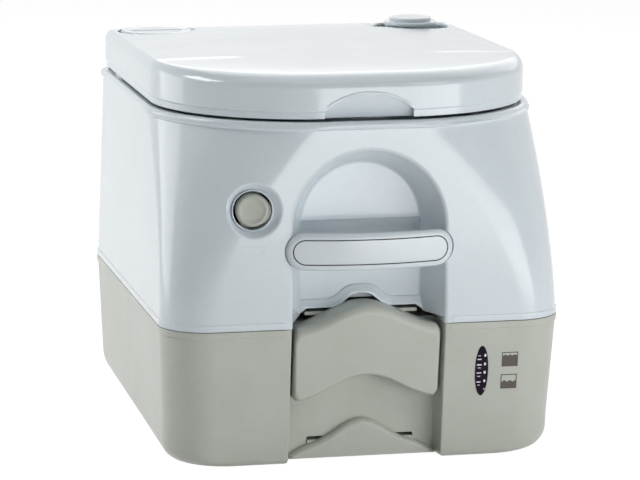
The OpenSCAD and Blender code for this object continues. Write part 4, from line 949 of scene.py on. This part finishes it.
# flush button with its ring
bezel = turn("buttonRing", [
    (16.0, -12), (17.3, -12), (17.3, 0.8), (17.15, 1.3), (16.8, 1.55), (16.4, 1.5), (16.15, 1.1), (16.05, 0.2)],
    96, press)
settle(bezel, "upper", "white_gloss", ["button_bezel"])
cap = turn("flushCap", [
    (0, -11.7), (13.9, -11.7), (13.9, -0.6), (13.7, 0.3), (13.2, 1.15), (12.6, 1.8), (11.9, 2.2), (11.3, 2.3),
    (10.6, 2.15), (9.8, 1.75), (9.0, 1.4), (8.0, 1.15), (6.0, 1.0), (0, 0.95)], 96, press)
stem = turn("flushStem", [(0, -29.5), (4, -29.5), (4, -11.5), (0, -11.5)], 32, press)
flushCap = joinAll([cap, stem])
settle(flushCap, "button", "button_beige", ["flush_button"])

# faint raised bowl sign under the button
sign = {"half": 10.5, "deep": 8.5, "up": -29.5, "line": 0.7, "lift": 0.32, "foot": 0.08, "sunk": -0.3}
path = [(sign["half"] * math.cos(a), sign["up"] + sign["deep"] * math.sin(a))
        for a in [math.radians(degrees) for degrees in between(180, 360, 30)]]
path += [(x, sign["up"]) for x in between(sign["half"], -sign["half"], 20)[1:-1]]


def wallSpot(flat, lift):
    return onPress(flat.x, flat.y, onWall(flat.x, flat.y) + lift)


signRings = []
for i, here in enumerate(path):
    middle = Vector(here)
    side = (Vector(path[(i + 1) % len(path)]) - Vector(path[i - 1])).normalized()
    away = Vector((side.y, -side.x)) * sign["line"]
    signRings.append([wallSpot(spot, lift) for spot, lift in (
        (middle + away, sign["sunk"]), (middle + away, sign["foot"]), (middle, sign["lift"]),
        (middle - away, sign["foot"]), (middle - away, sign["sunk"]))])
# the path is closed, so the strip's two end faces go and its ends are merged
bowlSign = loft("bowlSign", signRings + signRings[:1])
mesh = editStart(bowlSign)
for face in mesh.faces:
    face.select = len(face.verts) == len(signRings[0])
bmesh.update_edit_mesh(bowlSign.data)
bpy.ops.mesh.delete(type="FACE")
editEnd(bowlSign)
tidyMesh(bowlSign)
settle(bowlSign, "upper", "white_gloss")
print("button done")

# level window with painted highlights on it, ticks and dots that stand for light on its ribs, and the two level signs
# beside it
# the lens's print value is how far the painted highlight patches stand off the lens
lens = {"x": 98.0, "z": 75.2, "half": 5.7, "tall": 22.0, "tickGlintX": -2.4, "dotGlintX": 2.5, "dotGlintHalf": 0.95, "dotGlintTall": 1.35,
        "print": 0.07}
faceLean = math.atan2(tank["lean"], shell["seam"])


def onTank(x, z):
    return Matrix.Translation((x, tankFront(z), z)) @ Matrix.Rotation(math.pi / 2 + faceLean, 4, "X")


lensPlace = onTank(lens["x"], lens["z"])
levelLens = loft("levelLens", [
    [lensPlace @ Vector(((lens["half"] - inset) * c, (lens["tall"] - inset) * s, height)) for c, s in circle(64)]
    for inset, height in ((0, -2.0), (0, 0.35), (0.12, 0.6), (0.4, 0.8), (0.9, 0.9), (2.0, 0.98), (4.0, 1.04))])


def surfacePatch(name, target, place, columns, rows, lift):
    # a small patch that follows the surface, for print and for painted highlights; columns hold (across, low, high)
    restart()
    bpy.ops.mesh.primitive_grid_add(x_subdivisions=len(columns) - 1, y_subdivisions=rows, size=2)
    patch = bpy.context.object
    patch.name = name
    outward = place.to_3x3() @ Vector((0, 0, 1))
    for vert in patch.data.vertices:
        across, low, high = columns[round((vert.co.x + 1) / 2 * (len(columns) - 1))]
        up = mix(low, high, (vert.co.y + 1) / 2)
        spot, normal = surfaceAt(target, place @ Vector((across, up, 20)), -outward)
        vert.co = (spot + normal * lift) * milli
    addModifier(patch, "SOLIDIFY", thickness=2 * lift * milli, offset=-1)
    tidyMesh(patch)
    return patch


# painted highlights for light on the lens's ribs: tick glints hold (up, half width, half height), dot glints (up, size)
tickGlints = ((13.6, 1.1, 0.28), (10.4, 1.7, 0.5), (5.6, 2.0, 0.6), (2.9, 1.3, 0.32), (-1.6, 2.0, 0.5), (-4.6, 1.2, 0.3),
         (-9.6, 1.7, 0.5), (-12.4, 1.1, 0.28))
dotGlints = ((13.8, 1.0), (6.2, 1.0), (-1.2, 1.0), (-8.8, 0.95), (-16.0, 0.55))
marks = []
for up, half, thick in tickGlints:
    marks.append(surfacePatch("levelTickGlints", levelLens, lensPlace, [
        (lens["tickGlintX"] + half * t, up - thick, up + thick) for t in (-1, -0.5, 0, 0.5, 1)], 2, lens["print"]))
for up, size in dotGlints:
    columns = []
    for t in (-1, -0.85, -0.6, -0.3, 0, 0.3, 0.6, 0.85, 1):
        tall = lens["dotGlintTall"] * size * math.sqrt(1.02 - t * t)
        columns.append((lens["dotGlintX"] + lens["dotGlintHalf"] * size * t, up - tall, up + tall))
    marks.append(surfacePatch("levelDotGlints", levelLens, lensPlace, columns, 3, lens["print"]))
# the bright finish on the ticks and dots is a painted highlight of light on the lens's ribs
settle(joinAll(marks), "tank", "lens_black", finish="mark_white")
settle(levelLens, "tank", "lens_black", ["level_lens"])

# each sign is a frame, open at its foot, over a wavy filled level
signs = {"half": 7.0, "tall": 6.4, "line": 0.85, "print": 0.06, "steps": 40, "levels": (
    {"x": 122.2, "z": 84.3, "up": 3.7, "swell": 0.45, "crests": 3},
    {"x": 121.9, "z": 64.8, "up": 0.3, "swell": 0.6, "crests": 2.5})}
half, tall, line = signs["half"], signs["tall"], signs["line"]
signPieces = []
for shown in signs["levels"]:
    turns = 2 * math.pi * shown["crests"]
    edges = [
        [(-half, -tall, tall), (line - half, -tall, tall)], [(half - line, -tall, tall), (half, -tall, tall)],
        [(u, tall - line, tall) for u in (line - half, -3, 0, 3, half - line)],
        [(mix(line - half, half - line, t), -tall, shown["up"] - shown["swell"] * math.cos(turns * t))
         for t in between(0, 1, signs["steps"])]]
    for columns in edges:
        signPieces.append(surfacePatch(
            "levelSigns", wasteTank, onTank(shown["x"], shown["z"]), columns, 6, signs["print"]))
settle(joinAll(signPieces), "tank", "tan_satin", finish="mark_brown")
print("level window done")

# hand pump: knob over a ribbed stem, and the collar under it
pumpAt = Matrix.Translation(Vector((corner["x"], corner["y"], 0)) * milli)
fillerAt = Matrix.Translation(Vector((-corner["x"], corner["y"], 0)) * milli)
knob = {"low": 300.8, "ringLow": 326.0, "ringTop": 330.0, "top": 333.5, "r": 24.5, "stem": 21.5, "rib": 1.3,
        "ribs": 12, "discR": 19.5}
knobCap = turn("pumpKnob", softCorners([
    (0, knob["ringLow"]), (knob["r"], knob["ringLow"]), (knob["r"], knob["ringTop"]),
    (knob["discR"] - 0.6, knob["ringTop"] - 0.2), (knob["discR"], knob["top"]), (0, knob["top"] - 0.4)],
    [0, 1.3, 2.2, 0.5, 1.7, 0], 5), 96, pumpAt)
stemAt = Matrix.Translation((corner["x"], corner["y"], 0))
knobStem = loft("knobStem", [
    flutedRing(knob["stem"] + knob["rib"] - inset, knob["rib"], knob["ribs"], z, stemAt, 10)
    for inset, z in ((0.8, knob["low"]), (0, knob["low"] + 0.8), (0, knob["ringLow"] + 0.5))])
pumpKnob = joinAll([knobCap, knobStem])
settle(pumpKnob, "pump", "white_gloss", ["pump_knob"])
pumpCollar = turn("pumpCollar", softCorners(
    [(5.1, 286.5), (24, 286.5), (24, 291.5), (22.6, 293.5), (22.6, 300.5), (5.1, 300.5)],
    [0, 0.5, 1, 1, 1.6, 0.6], 4), 96, pumpAt)
settle(pumpCollar, "upper", "white_gloss", ["pump_collar"])

# filler neck and its fluted cap
fillerNeck = turn("fillerNeck", softCorners(
    [(23.0, 271.5), (26, 271.5), (26, 286.5), (31, 286.5), (31, 289.5), (26, 289.5), (26, 310.5), (23.0, 310.5)],
    [0.3, 0.3, 0, 0.3, 0.8, 0.6, 0.7, 0.7], 3), 96, fillerAt)
settle(fillerNeck, "upper", "white_gloss", ["filler_neck"])
cap = {"low": 289.8, "top": 327.1, "r": 32.4, "flutes": 24, "bore": 26.2, "boreLow": 284.0, "roof": 312.0,
       "gripHalf": 24.0, "gripW": 8.0, "gripTop": 327.3, "gripCorner": 3.2}
capAt = Matrix.Translation((-corner["x"], corner["y"], 0))
sides = [(0.7, 0.5, cap["low"]), (0, 1.0, cap["low"] + 0.8)]
sides += [(inset, deep, cap["top"] - drop) for inset, deep, drop in (
    (0, 1.0, 5.0), (0.05, 0.7, 3.4), (0.2, 0.25, 2.6), (0.5, 0, 1.4), (1.1, 0, 0.5), (2.0, 0, 0.1), (4.0, 0, 0),
    (5.5, 0, 0.1), (7.0, 0, 0.3), (9.0, 0, 0.4))]
capRound = loft("fillerCap", [flutedRing(cap["r"] - inset, deep, cap["flutes"], z, capAt) for inset, deep, z in sides])
cut(capRound, [discRing(-corner["x"], corner["y"], cap["bore"], z) for z in (cap["boreLow"], cap["roof"])])
rings = []
for inset, z in ((0, cap["top"] - 2.4), (0, cap["gripTop"] - 1.6), (0.25, cap["gripTop"] - 0.8),
                 (0.8, cap["gripTop"] - 0.2), (1.7, cap["gripTop"])):
    wide = cap["gripW"] / 2 - inset
    square = softCorners(boxOutline(cap["gripHalf"] - inset, -wide, wide), max(cap["gripCorner"] - inset, 1), 5)
    rings.append([(x - corner["x"], y + corner["y"], z) for x, y in square])
fillerCap = joinAll([capRound, loft("capGrip", rings)])
settle(fillerCap, "filler", "white_gloss", ["filler_cap"])
print("pump and filler done")

# pour spout lying in the rear bay, with its collar and screw cap
axisZ = tank["bayZ"] + spout["rise"]


def elbow(name, r, foot, end):
    # upright foot and level pipe, joined by a ball in the bend
    piece = loft(name, [discRing(spout["x"], spout["y"], r, z, 64) for z in (foot, axisZ)])
    restart()
    bpy.ops.mesh.primitive_uv_sphere_add(
        segments=64, ring_count=32, radius=r * milli, location=Vector((spout["x"], spout["y"], axisZ)) * milli)
    ball = bpy.context.object
    bpy.ops.object.transform_apply(location=True, rotation=True, scale=True)
    carve(piece, ball, "UNION")
    carve(piece, loft("levelPipe", [pipeRing(x, spout["y"], axisZ, r) for x in (spout["x"], end)]), "UNION")
    return piece


spoutEnd = spout["x"] - spout["reach"]
pourSpout = elbow("pourSpout", spout["r"], tank["bayZ"] + 0.3, spoutEnd)
carve(pourSpout, elbow("spoutBore", spout["r"] - spout["wall"], tank["bayZ"] - 5, spoutEnd - 5))
tidyMesh(pourSpout)
settle(pourSpout, "spout", "tan_satin", ["pour_spout"])
spoutAt = Matrix.Translation(Vector((spout["x"], spout["y"], 0)) * milli)
spoutCollar = turn("spoutCollar", softCorners(
    [(22.3, 50), (28, 50), (28, 55), (22.3, 55)], [0, 0.6, 1.6, 0.6], 4), 72, spoutAt)
settle(spoutCollar, "tank", "tan_satin", ["spout_collar"])
endAt = Matrix.Translation((spoutEnd - spout["capPast"], spout["y"], axisZ)) @ Matrix.Rotation(math.pi / 2, 4, "Y")
spoutCap = loft("spoutCap", [flutedRing(spout["capR"] - inset, deep, 16, along, endAt) for inset, deep, along in (
    (5.0, 0, 0.3), (2.6, 0, 0.0), (1.2, 0.1, 0.25), (0.4, 0.5, 0.9), (0, 1.2, 1.9), (0, 1.4, 4.0), (0, 1.4, 16.6),
    (0.2, 1.2, 17.5), (0.7, 0.9, 18.0))])
cut(spoutCap, [[endAt @ Vector(spot) for spot in discRing(0, 0, spout["capBore"], along, 64)] for along in (3.0, 25.0)])
settle(spoutCap, "spout_closure", "tan_satin", ["spout_cap"])
print("spout done")

# rubber stops under seat and lid
stopR, stopX, stopY = 6, 134.0, (-72.0, 20.0)
for name, body, node, lower, upper in (("seatStops", "seat", "seat_bumpers", 286.8, 293.1),
                                       ("lidStops", "lid", "lid_bumpers", 309.8, 326.4)):
    outline = softCorners([(0, lower), (stopR, lower), (stopR, upper), (0, upper)], [0, 1.8, 0.3, 0], 5)
    stops = [turn(name, outline, 40, Matrix.Translation(Vector((x, y, 0)) * milli))
             for x in (-stopX, stopX) for y in stopY]
    settle(joinAll(stops), body, "seal_rubber", [node])

# solids that need only soft edges
for name, node, body, slot, width in (
        ("hingeBracket", "hinge_bracket", "upper", "white_gloss", 0.7),
        ("valveBlade", "valve_blade", "slide_valve", "tan_satin", 0.6),
        ("valveCover", "valve_cover", "tank", "tan_satin", 0.6),
        ("valveBase", "valve_base", "tank", "tan_satin", 0.6)):
    restart()
    piece = frame["nodes"][node].copy()
    piece.data = piece.data.copy()
    scene.collection.objects.link(piece)
    piece.name = name
    piece.parent = None
    piece.matrix_world = Matrix()
    editStart(piece)
    bpy.ops.mesh.select_all(action="SELECT")
    bpy.ops.mesh.remove_doubles(threshold=1e-5)
    bpy.ops.mesh.dissolve_limited(angle_limit=math.radians(1))
    editEnd(piece)
    roundEdges(piece, width, 40)
    settle(piece, body, slot, [node])
print("small pieces done")


# floor and backdrop
def rayKinds(tree):
    return [Wire(tree).node("ShaderNodeLightPath", out=kind)
            for kind in ("Is Camera Ray", "Is Glossy Ray", "Is Transmission Ray")]


def emptyTree(owner):
    owner.use_nodes = True
    owner.node_tree.nodes.clear()
    return owner.node_tree


def output(tree, kind, mixed):
    tree.links.new(mixed.socket, tree.nodes.new(kind).inputs["Surface"])


restart()
bpy.ops.mesh.primitive_plane_add(size=60)
floor = bpy.context.object
floor.name = "paleFloor"
floorLook = bpy.data.materials.new("paleFloor")
tree = emptyTree(floorLook)
seen, shiny, clear = rayKinds(tree)
direct = (seen + shiny).sum("ADD", clear, True)
matt = seen.node("ShaderNodeBsdfDiffuse", None, {"Color": (0.86, 0.86, 0.86, 1)})
glow = seen.node("ShaderNodeEmission", None, {"Color": (1, 1, 1, 1), "Strength": 1.2})
output(tree, "ShaderNodeOutputMaterial", seen.node("ShaderNodeMixShader", None, {0: direct * 0.8, 1: matt, 2: glow}))
floor.data.materials.append(floorLook)

world = bpy.data.worlds.new("studio")
scene.world = world
tree = emptyTree(world)
seen, shiny, clear = rayKinds(tree)
# the room mirrors white behind the object and dim in front of it and above
toward = Wire(tree).node("ShaderNodeTexCoord", out="Generated")
along, rise = [toward.node("ShaderNodeSeparateXYZ", None, {"Vector": toward}, out=axis) for axis in ("Y", "Z")]
behind, below = [wire.node("ShaderNodeMapRange", None, {
    "Value": wire, "From Min": low, "From Max": high, "To Min": first, "To Max": last})
    for wire, low, high, first, last in ((along, -0.2, 0.2, 0.2, 1.0), (rise, 0.5, 0.8, 1.0, 0.15))]
plainRays = seen.sum("ADD", clear, True)
brightness = plainRays + shiny * behind * below
soft = seen.node("ShaderNodeBackground", None, {"Color": (0.97, 0.985, 1.0, 1), "Strength": 0.05})
white = seen.node("ShaderNodeBackground", None, {"Color": (1, 1, 1, 1), "Strength": brightness})
direct = plainRays.sum("ADD", shiny, True)
output(tree, "ShaderNodeOutputWorld", seen.node("ShaderNodeMixShader", None, {0: direct, 1: soft, 2: white}))

lamps = [
    {"name": "frontRight", "place": (0.504, -1.033, 0.17), "size": (1.15, 0.32), "power": 4.7, "aim": 0.16},
    {"name": "leftRear", "place": (-1.40, 0.776, 0.38), "size": (0.9, 0.75), "power": 4.5, "aim": 0.16},
    {"name": "leftHigh", "place": (-1.81, 0.319, 1.70), "size": (1.0, 0.8), "power": 23, "aim": 0.16},
    {"name": "rightRear", "place": (0.919, 1.592, 1.70), "size": (2.6, 2.2), "power": 21, "aim": 0.16},
    {"name": "rightHigh", "place": (1.128, -1.61, 1.537), "size": (1.0, 0.8), "power": 8.0, "aim": 0.16},
    {"name": "topSoft", "place": (0.1, 0.1, 2.2), "size": (1.6, 1.4), "power": 6.5, "aim": 0.2},
]
for lamp in lamps:
    restart()
    bpy.ops.object.light_add(type="AREA", location=lamp["place"])
    light = bpy.context.object
    light.name = lamp["name"]
    light.data.shape = "RECTANGLE"
    light.data.size, light.data.size_y = lamp["size"]
    light.data.energy = lamp["power"]
    way = Vector((0, 0, lamp["aim"])) - Vector(lamp["place"])
    light.rotation_euler = way.to_track_quat("-Z", "Y").to_euler()
print("studio lit")

# finishes on the solids that stay
slotOf = {part["node"]: part["material_slot"] for part in frame["record"]["subparts"]}
for name, node in frame["nodes"].items():
    node.data.materials.clear()
    node.data.materials.append(finishes[slotOf[name]])

print("all pieces in place")
